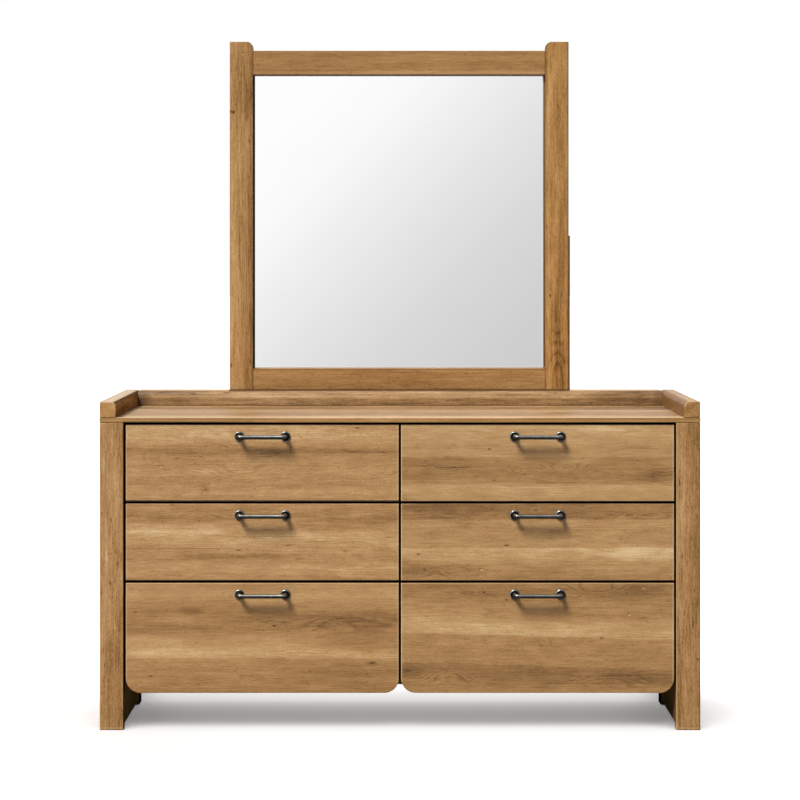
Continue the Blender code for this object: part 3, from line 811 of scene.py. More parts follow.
def model_rosette():
    """The round foot of a pull, dished like a small saucer, with a collar round the bar."""
    rosette = begin_disc(64, ROSETTE_RADIUS, ROSETTE_EDGE, -ROSETTE_EDGE / 2)
    edit(rosette)
    pick(rosette, "faces", lambda face: face.normal.y < -0.9)
    for inset, rise in (
        (0.0003, 0.0012),
        (0.0006, 0.001),
        (0.0009, 0.0007),
        (0.0007, 0.0001),
        (0.0009, -0.0006),
        (0.0012, -0.001),
        (0.0014, -0.0006),
        (0.0009, 0.0),
        (0.0002, 0.0009),
        (0.0006, 0.0006),
        (0.0006, 0.0001),
    ):
        bpy.ops.mesh.inset(thickness=inset, depth=rise)
    leave_edit()
    shade_smooth(60)
    return rosette


def clamp(value):
    return max(0.0, min(1.0, value))


def store_wear_and_highlight(piece, measure):
    """Stores on each corner how bright it is: wear, and painted highlight and shade."""
    rubbed = piece.data.attributes.new("rubbed", "FLOAT", "POINT")
    for corner, value in zip(piece.data.vertices, rubbed.data):
        value.value = measure(corner.co)


def model_screw(head_radius, head_height, countersunk=False):
    """A screw's head with a cross slot, its face towards -Y and its seat on Y = 0."""
    head = begin_disc(32, head_radius, head_height * 0.4, -head_height * 0.2)
    edit(head)
    pick(head, "faces", lambda face: face.normal.y < -0.9)
    rises = (0, 0, 0) if countersunk else (0.3, 0.2, 0.1)
    for inset, rise in zip((0.12, 0.16, 0.2), rises):
        bpy.ops.mesh.inset(thickness=inset * head_radius, depth=rise * head_height)
    leave_edit()
    for angle in (45, 135):
        blade = begin(
            bpy.ops.mesh.primitive_cube_add,
            size=1,
            scale=(head_radius * 1.1, head_height * 1.2, head_radius * 0.22),
            rotation=(0, math.radians(angle), 0),
            location=(0, -head_height * 1.05, 0),
        )
        slot = head.modifiers.new("slot", "BOOLEAN")
        slot.object = blade
        choose(head)
        bpy.ops.object.modifier_apply(modifier=slot.name)
        discard(blade)
    shade_smooth(40)
    return head


def model_rim(low, high):
    """A low frame round the glass for painted shade and reflection, its four sides of different
    widths.
    """
    middle = (low + high) / 2
    middle.y = high.y
    size = high - low
    rim = begin(
        bpy.ops.mesh.primitive_plane_add,
        size=1,
        location=middle,
        rotation=(math.radians(90), 0, 0),
    )
    edit(rim)
    bpy.ops.mesh.select_all(action="SELECT")
    bpy.ops.transform.resize(value=(size.x, 1, size.z), center_override=middle)
    even_width = 0.01
    bpy.ops.mesh.inset(thickness=even_width, depth=0)
    bpy.ops.mesh.delete(type="FACE")
    for axis, edge, width in (
        (X, low.x, RIM_LEFT),
        (X, high.x, -RIM_RIGHT),
        (Z, low.z, RIM_BOTTOM),
        (Z, high.z, -RIM_TOP),
    ):
        start = edge + math.copysign(even_width, width)
        pick(rim, "verts", lambda corner: abs(corner.co[axis] - start) < 0.0001)
        move = Vector()
        move[axis] = edge + width - start
        bpy.ops.transform.translate(value=move)
    bpy.ops.mesh.select_all(action="SELECT")
    extrude(0, low.y - high.y, 0)
    leave_edit()
    soften(rim, 0.00025)
    return rim


def model_foot_trim(low, high):
    """A thin black shoe on the inner side of a foot, its rear lower corner rounded."""
    middle = (low + high) / 2
    trim = begin(bpy.ops.mesh.primitive_cube_add, size=1, scale=high - low, location=middle)
    edit(trim)

    def rear_foot(edge):
        start, end = (corner.co - middle for corner in edge.verts)
        return min(start.y, end.y) > 0 and max(start.z, end.z) < 0

    pick(trim, "edges", rear_foot)
    bpy.ops.mesh.bevel(offset=FOOT_ROUND, segments=8, affect="EDGES")
    leave_edit()
    soften(trim, 0.0003)
    return trim


def model_clip():
    """A turn button that holds the mirror's backing, its screw hole at the origin."""
    clip = begin_disc(24, CLIP_RADIUS, CLIP_THICKNESS, CLIP_THICKNESS / 2)
    edit(clip)
    pick(clip, "verts", lambda corner: corner.co.z > 0.0001)
    reach = (0, 0, CLIP_REACH)
    bpy.ops.transform.translate(value=reach)
    bpy.ops.transform.resize(value=(0.8, 1, 1), center_override=reach)
    leave_edit()
    soften(clip, 0.0003)
    return clip


def discard(*patterns):
    for pattern in patterns:
        bpy.data.objects.remove(pattern)


# Carried-over parts


def dress(material, *names):
    for name in names:
        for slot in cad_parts[name].material_slots:
            slot.material = material


def dress_in_oak(piece, title, grain, **wood):
    """Dresses a piece in oak of its own."""
    dress(make_oak(f"oak of {title}", grain, **wood), piece)


def front_marks(row, side, low, high):
    """The front's arrises: painted highlight where light catches them, painted shade by the
    gaps.
    """
    left = side == "left"
    marks = [
        (PAINTED_ARRIS_HIGHLIGHT, 0.35 if left else 0.5, (X, low.x + 0.0034, low.x + 0.0014)),
        (PAINTED_ARRIS_HIGHLIGHT, 0.3, (X, high.x - 0.0046, high.x - 0.003)),
        (PAINTED_DEEP_SHADE, 0.6 if left else 0.35, (X, high.x - 0.0018, high.x - 0.0008)),
    ]
    if row == "upper":
        marks.append((PAINTED_DEEP_SHADE, 0.5, (Z, high.z - 0.004, high.z - 0.0002)))
    if row == "lower":
        marks.append((PAINTED_ARRIS_HIGHLIGHT, 0.2, (Z, high.z - 0.0034, high.z - 0.0018)))
        marks.append((PAINTED_ARRIS_HIGHLIGHT, 0.3, (Z, low.z + 0.0022, low.z + 0.0008)))
    else:
        shaded = {"upper": 0.0026, "middle": 0.002}[row] if left else 0.001
        marks.append((PAINTED_DEEP_SHADE, 0.85, (Z, low.z + shaded + 0.0012, low.z + shaded)))
    narrow = ((Y, low.y + 0.0008, low.y + 0.0016), (Y, high.y - 0.0001, high.y - 0.0012))
    marks.append((PAINTED_DEEP_SHADE, 0.85, *narrow))
    return marks


def stile_marks(side, low, high):
    """The stile's arrises and its foot in painted highlight and shade, and its inner side in
    painted shade, beside the drawers and at the foot.
    """
    marks = [
        (PAINTED_ARRIS_HIGHLIGHT, 0.25, (Z, 0.0078, 0.0055), (Z, 0.0028, 0.0042)),
        (PAINTED_DEEP_SHADE, 0.6, (Z, 0.0026, 0.0012)),
    ]
    if side == "left":
        inner_side = (X, high.x - 0.0004, high.x - 0.0001)
        marks.append((PAINTED_ARRIS_HIGHLIGHT, 0.25, (X, low.x + 0.003, low.x + 0.001)))
        marks.append((PAINTED_DEEP_SHADE, 0.85, (X, high.x - 0.0024, high.x - 0.0014)))
    else:
        inner_side = (X, low.x + 0.0004, low.x + 0.0001)
        marks.append((PAINTED_ARRIS_HIGHLIGHT, 0.35, (X, low.x + 0.0036, low.x + 0.0012)))
        marks.append((PAINTED_ARRIS_SHADE, 0.6, (X, high.x - 0.004, high.x - 0.002)))
    behind = (Y, low.y + 0.0006, low.y + 0.002)
    marks.append((PAINTED_DEEP_SHADE, 0.8, inner_side, behind, (Z, 0.085, 0.1)))
    marks.append((PAINTED_FOOT_SHADE, 0.8, inner_side, behind, (Z, 0.1, 0.085)))
    return marks


def line_below(low, amount):
    """Painted contact shade: the dark line where a piece stands on another."""
    return (PAINTED_CONTACT_SHADE, amount, (Z, low.z + 0.0022, low.z + 0.001))


def rail_marks(side, low, high):
    """A side rail: painted highlight on its top edge and round its end's rounded corner, painted
    shade on its inner face, rounding and foot, and a paler front end.
    """
    left = side == "left"
    round_x = high.x - RAIL_ROUND if left else low.x + RAIL_ROUND
    round_z = high.z - RAIL_ROUND
    end_face = (Y, low.y + 0.0012, low.y + 0.0004)
    behind = (Y, low.y + 0.0006, low.y + 0.002)
    if left:
        top_highlight = (shade(226, 213, 196), 0.55, (Z, high.z - 0.0032, high.z - 0.002))
        rounding = ((X, round_x + 0.006, round_x + 0.0076), (X, high.x - 0.0005, high.x - 0.004))
        marks = [
            (shade(98, 69, 41), 0.85, *rounding, behind),
            (PAINTED_ARRIS_SHADE, 0.4, (X, low.x + 0.0024, low.x + 0.0006)),
            (shade(208, 162, 106), 0.3, end_face),
        ]
    else:
        top_highlight = (shade(232, 214, 188), 0.22, (Z, high.z - 0.0018, high.z - 0.0006))
        marks = [
            (shade(106, 76, 46), 0.65, (X, round_x + 0.0005, round_x - 0.002), behind),
            (shade(190, 148, 94), 0.12, end_face),
        ]
    corner = ((round_x, round_z, RAIL_ROUND, RAIL_ROUND), 0.84, 0.95)
    inwards = (X, round_x, round_x + (0.002 if left else -0.002))
    arris = (PAINTED_ARRIS_HIGHLIGHT, 0.7, corner, inwards, (Z, round_z, round_z + 0.002), end_face)
    return [line_below(low, 0.3), top_highlight, *marks, arris]


def post_marks(side, low, high):
    """A mirror post's edges, and the rounding of its inner top corner, in painted shade."""
    left = side == "left"
    round_x = high.x - POST_ROUND if left else low.x + POST_ROUND
    round_z = high.z - POST_ROUND
    corner = ((round_x, round_z, POST_ROUND, POST_ROUND), 0.86, 0.95)
    outwards = (X, round_x, round_x + (0.004 if left else -0.004))
    marks = [(shade(60, 38, 18), 0.8, corner, outwards, (Z, round_z, round_z + 0.004))]
    if left:
        marks.append((PAINTED_DEEP_SHADE, 0.85, (X, high.x - 0.0014, high.x - 0.0003)))
    else:
        marks.append((PAINTED_ARRIS_SHADE, 0.5, (X, high.x - 0.0038, high.x - 0.0018)))
        marks.append((PAINTED_ARRIS_SHADE, 0.6, (X, low.x + 0.0014, low.x + 0.0004)))
    return marks


def mirror_rail_marks(end, low, high):
    """A mirror rail's joints with the posts and its arris beside the glass, in painted shade;
    the top rail also has a faint painted highlight above it.
    """
    marks = [
        (PAINTED_ARRIS_SHADE, 0.6, (X, low.x + 0.0018, low.x + 0.0004)),
        (PAINTED_ARRIS_SHADE, 0.6, (X, high.x - 0.0018, high.x - 0.0004)),
    ]
    if end == "top":
        band = ((Z, low.z + 0.0124, low.z + 0.0104), (Z, low.z + 0.0032, low.z + 0.005))
        marks.append((PAINTED_ARRIS_HIGHLIGHT, 0.14, *band))
        marks.append((shade(66, 46, 26), 0.85, (Z, low.z + 0.0028, low.z + 0.0018)))
    else:
        marks.append((PAINTED_ARRIS_SHADE, 0.5, (Z, high.z - 0.005, high.z - 0.0032)))
    return marks


# The same for the stiles and mirror posts, whose boards go from the left edge (0) to the right
# edge (1), and whose grain runs upwards: height, place across, half height, half width
STILES = {
    "left": {
        "boards": ((0.0, 0.64), (0.25, 0.58), (0.5, 0.51), (0.65, 0.55), (0.8, 0.5), (1.0, 0.5)),
        "patches": ((0.06, -0.72, 0.2, 0.06, -0.16), (0.55, -0.708, 0.26, 0.034, 0.17)),
        "knots": (
            (0.525, -0.721, 0.005, 0.0011, 0.6), (0.445, -0.711, 0.004, 0.0011, 0.6),
            (0.385, -0.7, 0.003, 0.001, 0.6),
        ),
    },
    "right": {
        "boards": (
            (0.0, 0.48), (0.25, 0.58), (0.4, 0.52), (0.55, 0.46), (0.68, 0.48), (0.85, 0.4),
            (1.0, 0.41),
        ),
        "patches": (
            (0.1, 0.697, 0.26, 0.016, -0.26), (0.15, 0.735, 0.26, 0.022, 0.14),
            (0.6, 0.72, 0.14, 0.03, 0.1),
        ),
        "knots": (
            (0.35, 0.735, 0.004, 0.0011, 0.5), (0.177, 0.7432, 0.003, 0.0022, 1.0),
            (0.19, 0.7425, 0.014, 0.0006, 0.4), (0.318, 0.743, 0.009, 0.0008, 0.4),
        ),
    },
}
POSTS = {
    "left": {
        "stops": tinted(OAK_STOPS, 1.04, 1.06, 1.09),
        "boards": (
            (0.0, 0.58), (0.2, 0.63), (0.38, 0.58), (0.52, 0.48), (0.62, 0.45), (0.72, 0.49),
            (0.85, 0.46), (0.93, 0.4), (1.0, 0.48),
        ),
        "patches": (
            (1.62, -0.43, 0.07, 0.03, -0.2), (1.7, -0.44, 0.09, 0.026, -0.16),
            (1.06, -0.461, 0.38, 0.014, 0.17),
        ),
        "knots": (
            (1.5788, -0.4543, 0.0036, 0.0024, 1.0), (1.5797, -0.4618, 0.0026, 0.0018, 1.0),
            (1.7407, -0.4289, 0.0016, 0.0014, 0.8), (1.7358, -0.4297, 0.003, 0.0014, -0.7),
            (1.7355, -0.4136, 0.0016, 0.0014, 0.7), (1.72, -0.4305, 0.012, 0.0007, 0.4),
            (1.6287, -0.4052, 0.0018, 0.0012, 0.6), (1.595, -0.4052, 0.0014, 0.001, 0.5),
        ),
    },
    "right": {
        "stops": tinted(OAK_STOPS, 1.06, 1.02, 0.9),
        "boards": (
            (0.0, 0.54), (0.13, 0.63), (0.3, 0.57), (0.5, 0.5), (0.65, 0.46), (0.8, 0.49),
            (0.88, 0.54), (1.0, 0.48),
        ),
        "figures": ((0.86, 0.431, 0.13, 0.024, 3),),
        "patches": (
            (1.7, 0.44, 0.1, 0.02, 0.08), (0.91, 0.431, 0.17, 0.022, -0.2),
            (1.33, 0.431, 0.25, 0.02, 0.15),
        ),
        "knots": (
            (1.6875, 0.4246, 0.0018, 0.0012, 0.7), (1.596, 0.4305, 0.0028, 0.0014, 0.85),
            (1.5707, 0.4325, 0.0018, 0.0012, 0.6), (1.0775, 0.41, 0.0034, 0.0018, 0.9),
            (1.314, 0.44, 0.0022, 0.001, 0.4),
        ),
    },
}
# The rails' grain runs across, as that of the fronts does
BACK_RAIL = {
    "boards": (
        (0.0, 0.24), (0.12, 0.28), (0.35, 0.31), (0.45, 0.35), (0.53, 0.54), (0.61, 0.7),
        (0.68, 0.61), (0.76, 0.38), (0.83, 0.42), (0.9, 0.42), (1.0, 0.42),
    ),
    "patches": (
        (0.6, 0.804, 0.16, 0.024, -0.24), (-0.62, 0.818, 0.1, 0.009, -0.16),
        (-0.4, 0.799, 0.2, 0.02, 0.19), (0.66, 0.8, 0.05, 0.03, -0.16),
        # The patch at -0.649 is painted shadow: the shadow of the left side rail on the back
        # rail
        (-0.649, 0.816, 0.04, 0.006, -0.2), (0.215, 0.81, 0.06, 0.008, 0.18),
    ),
    "knots": (
        (-0.56, 0.812, 0.006, 0.0014, 0.7), (0.42, 0.815, 0.005, 0.0014, 0.6),
        (-0.47, 0.815, 0.006, 0.0012, 0.7),
    ),
}
MIRROR_RAILS = {
    "top": {"boards": ((0.0, 0.51), (0.5, 0.5), (1.0, 0.47)), "contrast": 0.85},
    "bottom": {
        "boards": ((0.0, 0.38), (0.06, 0.5), (0.25, 0.52), (0.5, 0.55), (1.0, 0.57)),
        "contrast": 1.1,
    },
}

for label, (row, side) in DRAWERS.items():
    low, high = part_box(f"drawer_front_{label}")
    dress_in_oak(
        f"drawer_front_{label}",
        f"front {label}",
        "X",
        reach=(low.z, high.z),
        seed=len(label) * 0.37 + low.x + low.z * 3,
        stops=FRONT_STOPS[side],
        marks=front_marks(row, side, low, high),
        wobble=0.55,
        **FRONTS[label],
    )

for side in SIDES:
    low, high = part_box(f"front_stile_{side}")
    dress_in_oak(
        f"front_stile_{side}",
        f"stile {side}",
        "Z",
        reach=(low.x, high.x),
        heart=(low.x + 0.05, -0.2, 0.4),
        drift=1.1,
        contrast=1.5,
        seed=5.3 + low.x,
        stops=tinted(OAK_STOPS, 1.04, 1.09, 1.23),
        marks=stile_marks(side, low, high),
        length=1.7,
        sheen=0.0,
        **STILES[side],
    )

side_oak = make_oak(
    "oak of the sides",
    "Z",
    heart=(0, 0.04, 0.5),
    drift=0.9,
    contrast=1.3,
    figure=0.5,
    seed=8.2,
    length=1.8,
    sheen=0.08,
)
for side in SIDES:
    dress(side_oak, f"side_panel_outer_{side}", f"rear_stile_{side}")
dress(make_slab_oak(), "top_slab")

for side, level, seed, sheen in (("left", 0.56, 1.4, 0.0), ("right", 0.42, 1.9, 0.15)):
    low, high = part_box(f"gallery_rail_{side}")
    dress_in_oak(
        f"gallery_rail_{side}",
        f"the rail {side}",
        "Y",
        level=level,
        heart=(0.7, 0, 0.77),
        figure=0.7,
        drift=0.7,
        contrast=1.5,
        seed=seed,
        marks=rail_marks(side, low, high),
        sheen=sheen,
    )

# The back rail has painted shade in its corners and along its foot. Its top has a painted
# highlight, and painted shade where the mirror stands on it
low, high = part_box("gallery_rail_back")
back_top = (Z, high.z - 0.0005, high.z - 0.0001)
top_line = (Z, high.z - 0.0024, high.z - 0.0014)
dress_in_oak(
    "gallery_rail_back",
    "the back rail",
    "X",
    reach=(low.z, high.z),
    heart=(0.2, 0.16, 0.81),
    drift=1.2,
    contrast=1.3,
    seed=2.6,
    stops=tinted(OAK_STOPS, 0.99, 1.13, 1.38),
    marks=[
        (PAINTED_CORNER_SHADE, 0.62, (X, -0.664, -0.694)),
        (PAINTED_CORNER_SHADE, 0.55, (X, 0.676, 0.698)),
        line_below(low, 0.65),
        (PAINTED_TOP_HIGHLIGHT, 0.35, back_top, (X, -0.465, -0.4665)),
        (PAINTED_TOP_HIGHLIGHT, 0.35, back_top, (X, 0.4603, 0.4618)),
        (PAINTED_CONTACT_SHADE, 0.8, top_line, (X, -0.4665, -0.465), (X, 0.4618, 0.4603)),
    ],
    length=1.6,
    **BACK_RAIL,
)

for side in SIDES:
    low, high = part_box(f"mirror_post_{side}")
    dress_in_oak(
        f"mirror_post_{side}",
        f"mirror post {side}",
        "Z",
        reach=(low.x, high.x),
        heart=(low.x + 0.03, 0.2, 1.2),
        drift=1.3,
        contrast=1.4,
        seed=6.7 + low.x,
        marks=post_marks(side, low, high),
        length=2.1,
        sheen=0.1,
        bold=0.6,
        wobble=0.35,
        **POSTS[side],
    )

for end, own in MIRROR_RAILS.items():
    low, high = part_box(f"mirror_rail_{end}")
    dress_in_oak(
        f"mirror_rail_{end}",
        f"the mirror rail {end}",
        "X",
        reach=(low.z, high.z),
        patches=((-0.3, 1.69, 0.13, 0.01, -0.14),),
        heart=(0, 0.2, 1.7),
        knots=((-0.18, 1.735, 0.003, 0.0012, 0.7), (0.178, 1.737, 0.003, 0.0012, 0.6)),
        drift=1.0,
        seed=4.4,
        stops=tinted(OAK_STOPS, 1.0, 1.02, 1.02),
        marks=mirror_rail_marks(end, low, high),
        length=1.6,
        sheen=0.15,
        **own,
    )

batten_oak = make_oak(
    "oak of the battens",
    "Z",
    level=0.5,
    heart=(0.43, 0.23, 0.8),
    drift=0.6,
    seed=9.5,
    length=1.6,
)
dress(batten_oak, "mirror_support_left", "mirror_support_right")

lined = (shade(126, 100, 62), shade(84, 66, 38), 260, 0.85, "Z", 0.8)
dress(make_board("lined board", *lined, sheen=0.0), "bottom_panel", "top_rear_rail")
# The divider and inner sides have their front edges in painted shade
divider_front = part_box("centre_divider")[0].y
edged = make_board("lined board with a front edge in painted shade", *lined, divider_front, sheen=0.0)
dress(edged, "side_panel_inner_left", "side_panel_inner_right", "centre_divider")
foil = make_board("drawer foil", shade(205, 188, 162), shade(178, 158, 130), 420, 0.5, "Y", 0.6)
hardboard = make_board("hardboard", shade(158, 122, 88), shade(118, 86, 58), 520, 0.7, "X", 0.1)
dress(hardboard, "back_panel", "mirror_backing")
runner_plastic = make_plastic("runner plastic", shade(92, 72, 58), shade(70, 54, 42), 0.45)
for label in DRAWERS:
    dress(foil, f"drawer_box_{label}")
    dress(hardboard, f"drawer_bottom_{label}")
    dress(runner_plastic, f"runner_{label}_inner", f"runner_{label}_outer")
dress(make_mirror(), "mirror_glass")

# New pieces

pewter = make_pewter()
steel = make_steel()
black_trim = make_plastic("black trim", shade(22, 20, 18), shade(12, 11, 10), 0.7, sheen=0.0)


def fasten(pattern, name, place, turn=HALF_TURN, body="carcass"):
    """Sets down a steel screw or clip. A screw's head faces the back unless it is turned."""
    set_down(pattern, name, Vector(place), steel, body, turn=turn)


def fit_pulls():
    """A bar and two rosettes on each drawer front, and their two screws behind it.

    The bar has a painted highlight on its top and painted shade below. The rosettes are dark
    in their hollows, worn bright on their crests, with a painted highlight at the upper left.
    """
    bar = model_bar()
    # Painted highlight along the bar's top, and painted shade under it
    store_wear_and_highlight(bar, lambda co: clamp(0.3 + co.z / BAR_RADIUS * 0.7))
    rosette = model_rosette()
    # The rosettes: dark hollows, worn crests, and a painted highlight at the upper left
    store_wear_and_highlight(
        rosette,
        lambda co: clamp((math.hypot(co.x, co.z) - 0.0088) / 0.0022)
        * clamp(0.62 + (co.z - co.x) * 22),
    )
    screw = model_screw(head_radius=0.0042, head_height=0.0024)
    for label in DRAWERS:
        low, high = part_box(f"drawer_front_{label}")
        body = f"drawer_{label}"
        middle = Vector(((low.x + high.x) / 2, low.y - FIT_GAP, high.z - PULL_DROP))
        own_bar = set_down(bar, f"pull_bar_{label}", middle, pewter, body)
        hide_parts(f"pull_{label}")
        for end, offset in (("left", -PULL_SPACING / 2), ("right", PULL_SPACING / 2)):
            place = middle + Vector((offset, 0, 0))
            set_down(rosette, f"rosette_{label}_{end}", place, pewter, body)
            place.y = high.y + FIT_GAP
            fasten(screw, f"pull_screw_{label}_{end}", place, body=body)
    discard(bar, rosette, screw)


def fit_runner_screws(screw):
    """Two sunk screws in each runner, one near each end."""
    for label, (_, side) in DRAWERS.items():
        for runner in ("inner", "outer"):
            low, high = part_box(f"runner_{label}_{runner}")
            points_right = (side == "left") == (runner == "outer")
            face, way = (high.x, 1) if points_right else (low.x, -1)
            turn = Matrix.Rotation(math.radians(90 * way), 4, "Z")
            for end, depth in (
                ("front", low.y + RUNNER_SCREW_INSET),
                ("back", high.y - RUNNER_SCREW_INSET),
            ):
                place = (face - way * SCREW_SINK, depth, (low.z + high.z) / 2)
                fasten(screw, f"runner_screw_{label}_{runner}_{end}", place, turn)


def fit_support_screws(screw):
    """Sunk screws up the back of each batten, into the case and the mirror post."""
    for side in SIDES:
        low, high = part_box(f"mirror_support_{side}")
        for number, height in enumerate(SUPPORT_SCREW_HEIGHTS):
            place = ((low.x + high.x) / 2, high.y - SCREW_SINK, height)
            fasten(screw, f"support_screw_{side}_{number}", place)


def fit_back_screws(screw):
    """Screws along the back panel's upper and lower edge, and up its middle."""
    low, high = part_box("back_panel")
    spots = [(across, high.z - 0.02) for across in BACK_SCREW_PLACES]
    spots += [(across, low.z + 0.008) for across in BACK_SCREW_PLACES]
    spots += [(0.0, height) for height in BACK_SCREW_HEIGHTS]
    for number, (across, height) in enumerate(spots):
        fasten(screw, f"back_screw_{number}", (across, high.y + FIT_GAP, height))


def fit_clips(screw):
    """Turn buttons round the mirror's backing, two to a side, each held by a screw."""
    clip = model_clip()
    low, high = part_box("mirror_backing")
    back = high.y + FIT_GAP
    clips = [(low.x - CLIP_OUTSET, height, 90) for height in CLIP_HEIGHTS]
    clips += [(high.x + CLIP_OUTSET, height, -90) for height in CLIP_HEIGHTS]
    clips += [(across, high.z + CLIP_OUTSET, 180) for across in CLIP_PLACES]
    clips += [(across, low.z - CLIP_OUTSET, 0) for across in CLIP_PLACES]
    for number, (across, height, angle) in enumerate(clips):
        turn = Matrix.Rotation(math.radians(angle), 4, "Y")
        fasten(clip, f"mirror_clip_{number}", (across, back, height), turn)
        fasten(screw, f"clip_screw_{number}", (across, back + CLIP_SCREW_RISE, height))
    discard(clip)


def fit_rim():
    """A strip of painted shade and reflection round the glass, inside the mirror's frame."""
    left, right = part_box("mirror_post_left")[1].x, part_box("mirror_post_right")[0].x
    foot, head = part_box("mirror_rail_bottom")[1].z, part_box("mirror_rail_top")[0].z
    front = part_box("mirror_glass")[0].y - FIT_GAP
    low = Vector((left + FIT_GAP, front - RIM_DEPTH, foot + FIT_GAP))
    high = Vector((right - FIT_GAP, front, head - FIT_GAP))
    rim = model_rim(low, high)
    set_down(rim, "mirror_rim", Vector(), make_rim_shade_and_reflection(low, high), "carcass")
    discard(rim)


def fit_foot_trims():
    """A black shoe on the inner side of each foot."""
    for side in SIDES:
        low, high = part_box(f"side_panel_inner_{side}")
        inner, way = (high.x, 1) if side == "left" else (low.x, -1)
        faces = sorted((inner + way * FIT_GAP, inner + way * (FIT_GAP + TRIM_THICKNESS)))
        trim_low = Vector((faces[0], TRIM_FRONT, TRIM_FOOT))
        trim_high = Vector((faces[1], TRIM_BACK, TRIM_TOP))
        trim = model_foot_trim(trim_low, trim_high)
        set_down(trim, f"foot_trim_{side}", Vector(), black_trim, "carcass")
        discard(trim)


fit_pulls()
sunk_screw = model_screw(head_radius=0.0034, head_height=SCREW_SINK, countersunk=True)
fit_runner_screws(sunk_screw)
fit_support_screws(sunk_screw)
small_screw = model_screw(head_radius=0.003, head_height=0.0014)
fit_back_screws(small_screw)
fit_clips(small_screw)
discard(sunk_screw, small_screw)
fit_rim()
fit_foot_trims()

# Floor, light and camera

CAMERA_PLACE = (0, -4.608875, 1.164)
CAMERA_LENS = 79.3
CAMERA_SHIFT = -0.17
# Where the dresser's shadow lies on the floor, outside which the floor glows with painted
# light: place across, depth, half length, half width
SHADOW_OVAL = (0, -0.1, 1.15, 0.75)


def make_floor():
    """Plain pale floor that takes the shadow, and runs out to white by painted light that the
    camera sees away from the shadow and behind the dresser.
    """
    floor = Finish("pale floor", roughness=0.9, sheen=0.0)
    grain = floor.specks(40, 3, 0.6)
    floor.set("Base Color", floor.ramp(grain + 0.5, ((0.0, grey(0.41)), (1.0, grey(0.43)))))
    paper = floor.node("ShaderNodeBsdfDiffuse", {}, {"Color": grey(0.97)})
    # Painted light: for the camera the floor glows more away from the shadow and behind the
    # dresser
    away = floor.away(SHADOW_OVAL, floor.axes[X], floor.axes[Y])
    behind = floor.smooth(floor.axes[Y], 0.35, 0.85) * 0.4
    strength = floor.smooth(away, 1.0, 2.2) * 0.2 + behind + 0.115
    glow = floor.node("ShaderNodeEmission", {}, {"Color": (1, 1, 1, 1), "Strength": strength})
    lifted = floor.node("ShaderNodeAddShader", {}, [paper, glow])
    plain = Number(floor, floor.shader.outputs[0])
    floor.show(floor.node("ShaderNodeMixShader", {}, [floor.seen(), plain, lifted]))
    return floor.material


def make_card():
    """A pale card behind the camera that the mirror shows: white fading to grey."""
    card = Finish("reflected card")
    fall = card.axes[X] * -0.25 + card.axes[Z] * 0.25 + 0.14
    stops = (
        (0.0, shade(206, 206, 206)),
        (0.12, shade(209, 209, 209)),
        (0.3, shade(218, 218, 219)),
        (0.45, shade(229, 229, 230)),
        (0.6, shade(241, 241, 242)),
        (0.72, shade(251, 251, 252)),
        (0.85, grey(1.0)),
    )
    tone = card.ramp(fall, stops)
    card.show(card.node("ShaderNodeEmission", {}, {"Color": tone, "Strength": 1.0}))
    return card.material


floor = begin(bpy.ops.mesh.primitive_plane_add, size=80, location=(0, 20, 0))
floor.name = "floor"
floor.data.materials.append(make_floor())

card = begin(
    bpy.ops.mesh.primitive_plane_add,
    size=5,
    location=(0, -7, 2.51),
    rotation=(math.radians(-90), 0, 0),
)
card.name = "card"
card.data.materials.append(make_card())
card.visible_camera = False
card.visible_diffuse = False
card.visible_shadow = False
card.visible_transmission = False

world = bpy.data.worlds.new("studio")
world.use_nodes = True
bpy.context.scene.world = world
sheet = Sheet(world.node_tree)
fill = sheet.tree.nodes["Background"]
fill.inputs["Color"].default_value = (0.98, 0.99, 1.0, 1.0)
fill.inputs["Strength"].default_value = 0.1
white = sheet.node("ShaderNodeBackground", {}, {"Color": grey(1.0), "Strength": 1.0})
lamplight = Number(sheet, fill.outputs[0])
blend = sheet.node("ShaderNodeMixShader", {}, [sheet.seen(), lamplight, white])
sheet.show(blend, "World Output")

# The floor has softer lamps of its own, as a seamless paper sweep would
on_floor = bpy.data.collections.new("floor only")
on_floor.objects.link(floor)
off_floor = bpy.data.collections.new("all but the floor")
off_floor.objects.link(floor)
off_floor.collection_objects[0].light_linking.link_state = "EXCLUDE"


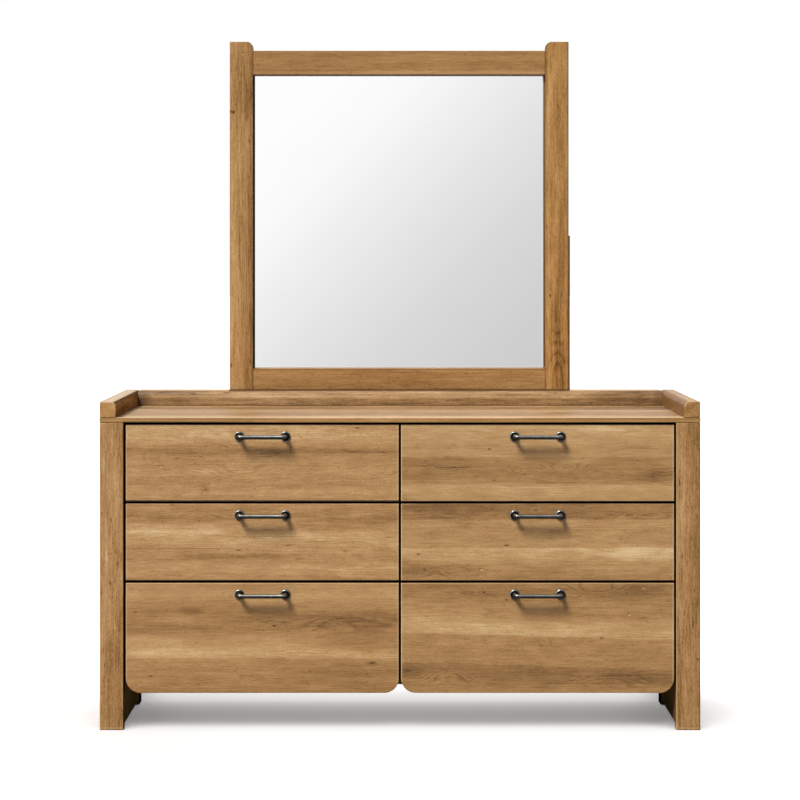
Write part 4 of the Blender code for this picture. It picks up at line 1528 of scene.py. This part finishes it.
def hang_lamp(name, lamp, towards, distance, receivers, aim=(0, 0, 0)):
    """Hangs a lamp in the direction of towards from aim, and points it at aim."""
    lamp_object = bpy.data.objects.new(name, lamp)
    lamp_object.rotation_euler = towards.to_track_quat("Z", "Y").to_euler()
    lamp_object.location = Vector(aim) + towards * distance
    lamp_object.light_linking.receiver_collection = receivers
    bpy.context.scene.collection.objects.link(lamp_object)
    return lamp_object


def hang_sun(name, level, left, up, spread, receivers, colour=(1.0, 1.0, 1.0)):
    """A soft sun: a white surface that faces it shows the level given."""
    sun = bpy.data.lights.new(name, "SUN")
    sun.energy = math.pi * level
    sun.angle = math.radians(spread)
    sun.color = colour
    left, up = math.radians(left), math.radians(up)
    across = -math.sin(left) * math.cos(up)
    towards = Vector((across, -math.cos(left) * math.cos(up), math.sin(up)))
    return hang_lamp(name, sun, towards, 6, receivers)


hang_sun("key", 1.54, 37.5, 51.4, 20, off_floor, (1.0, 0.985, 0.96))
hang_sun("floor front", 0.38, 6, 62, 36, on_floor)
hang_sun("floor key", 0.06, 33, 50, 30, on_floor)
hang_sun("floor overhead", 0.18, 0, 90, 150, on_floor)
hang_sun("floor low left", 0.36, 56, 22, 60, on_floor)
hang_sun("floor low right", 0.36, -56, 22, 60, on_floor)
back_glow = bpy.data.lights.new("floor behind", "AREA")
back_glow.shape = "RECTANGLE"
back_glow.size = 2.2
back_glow.size_y = 0.5
back_glow.energy = 18.5
upwards_back = Vector((0, 0.85, 0.36)).normalized()
behind = hang_lamp("floor behind", back_glow, upwards_back, 0.86, on_floor, (0, 0.05, 0))
behind.visible_camera = False
behind.visible_glossy = False

camera = bpy.data.cameras.new("camera")
camera.lens = CAMERA_LENS
camera.sensor_width = 36
camera.shift_y = CAMERA_SHIFT
camera_object = bpy.data.objects.new("camera", camera)
camera_object.location = CAMERA_PLACE
camera_object.rotation_euler = (math.radians(90), 0, 0)
bpy.context.scene.collection.objects.link(camera_object)
bpy.context.scene.camera = camera_object
bpy.context.scene.view_settings.view_transform = "Standard"
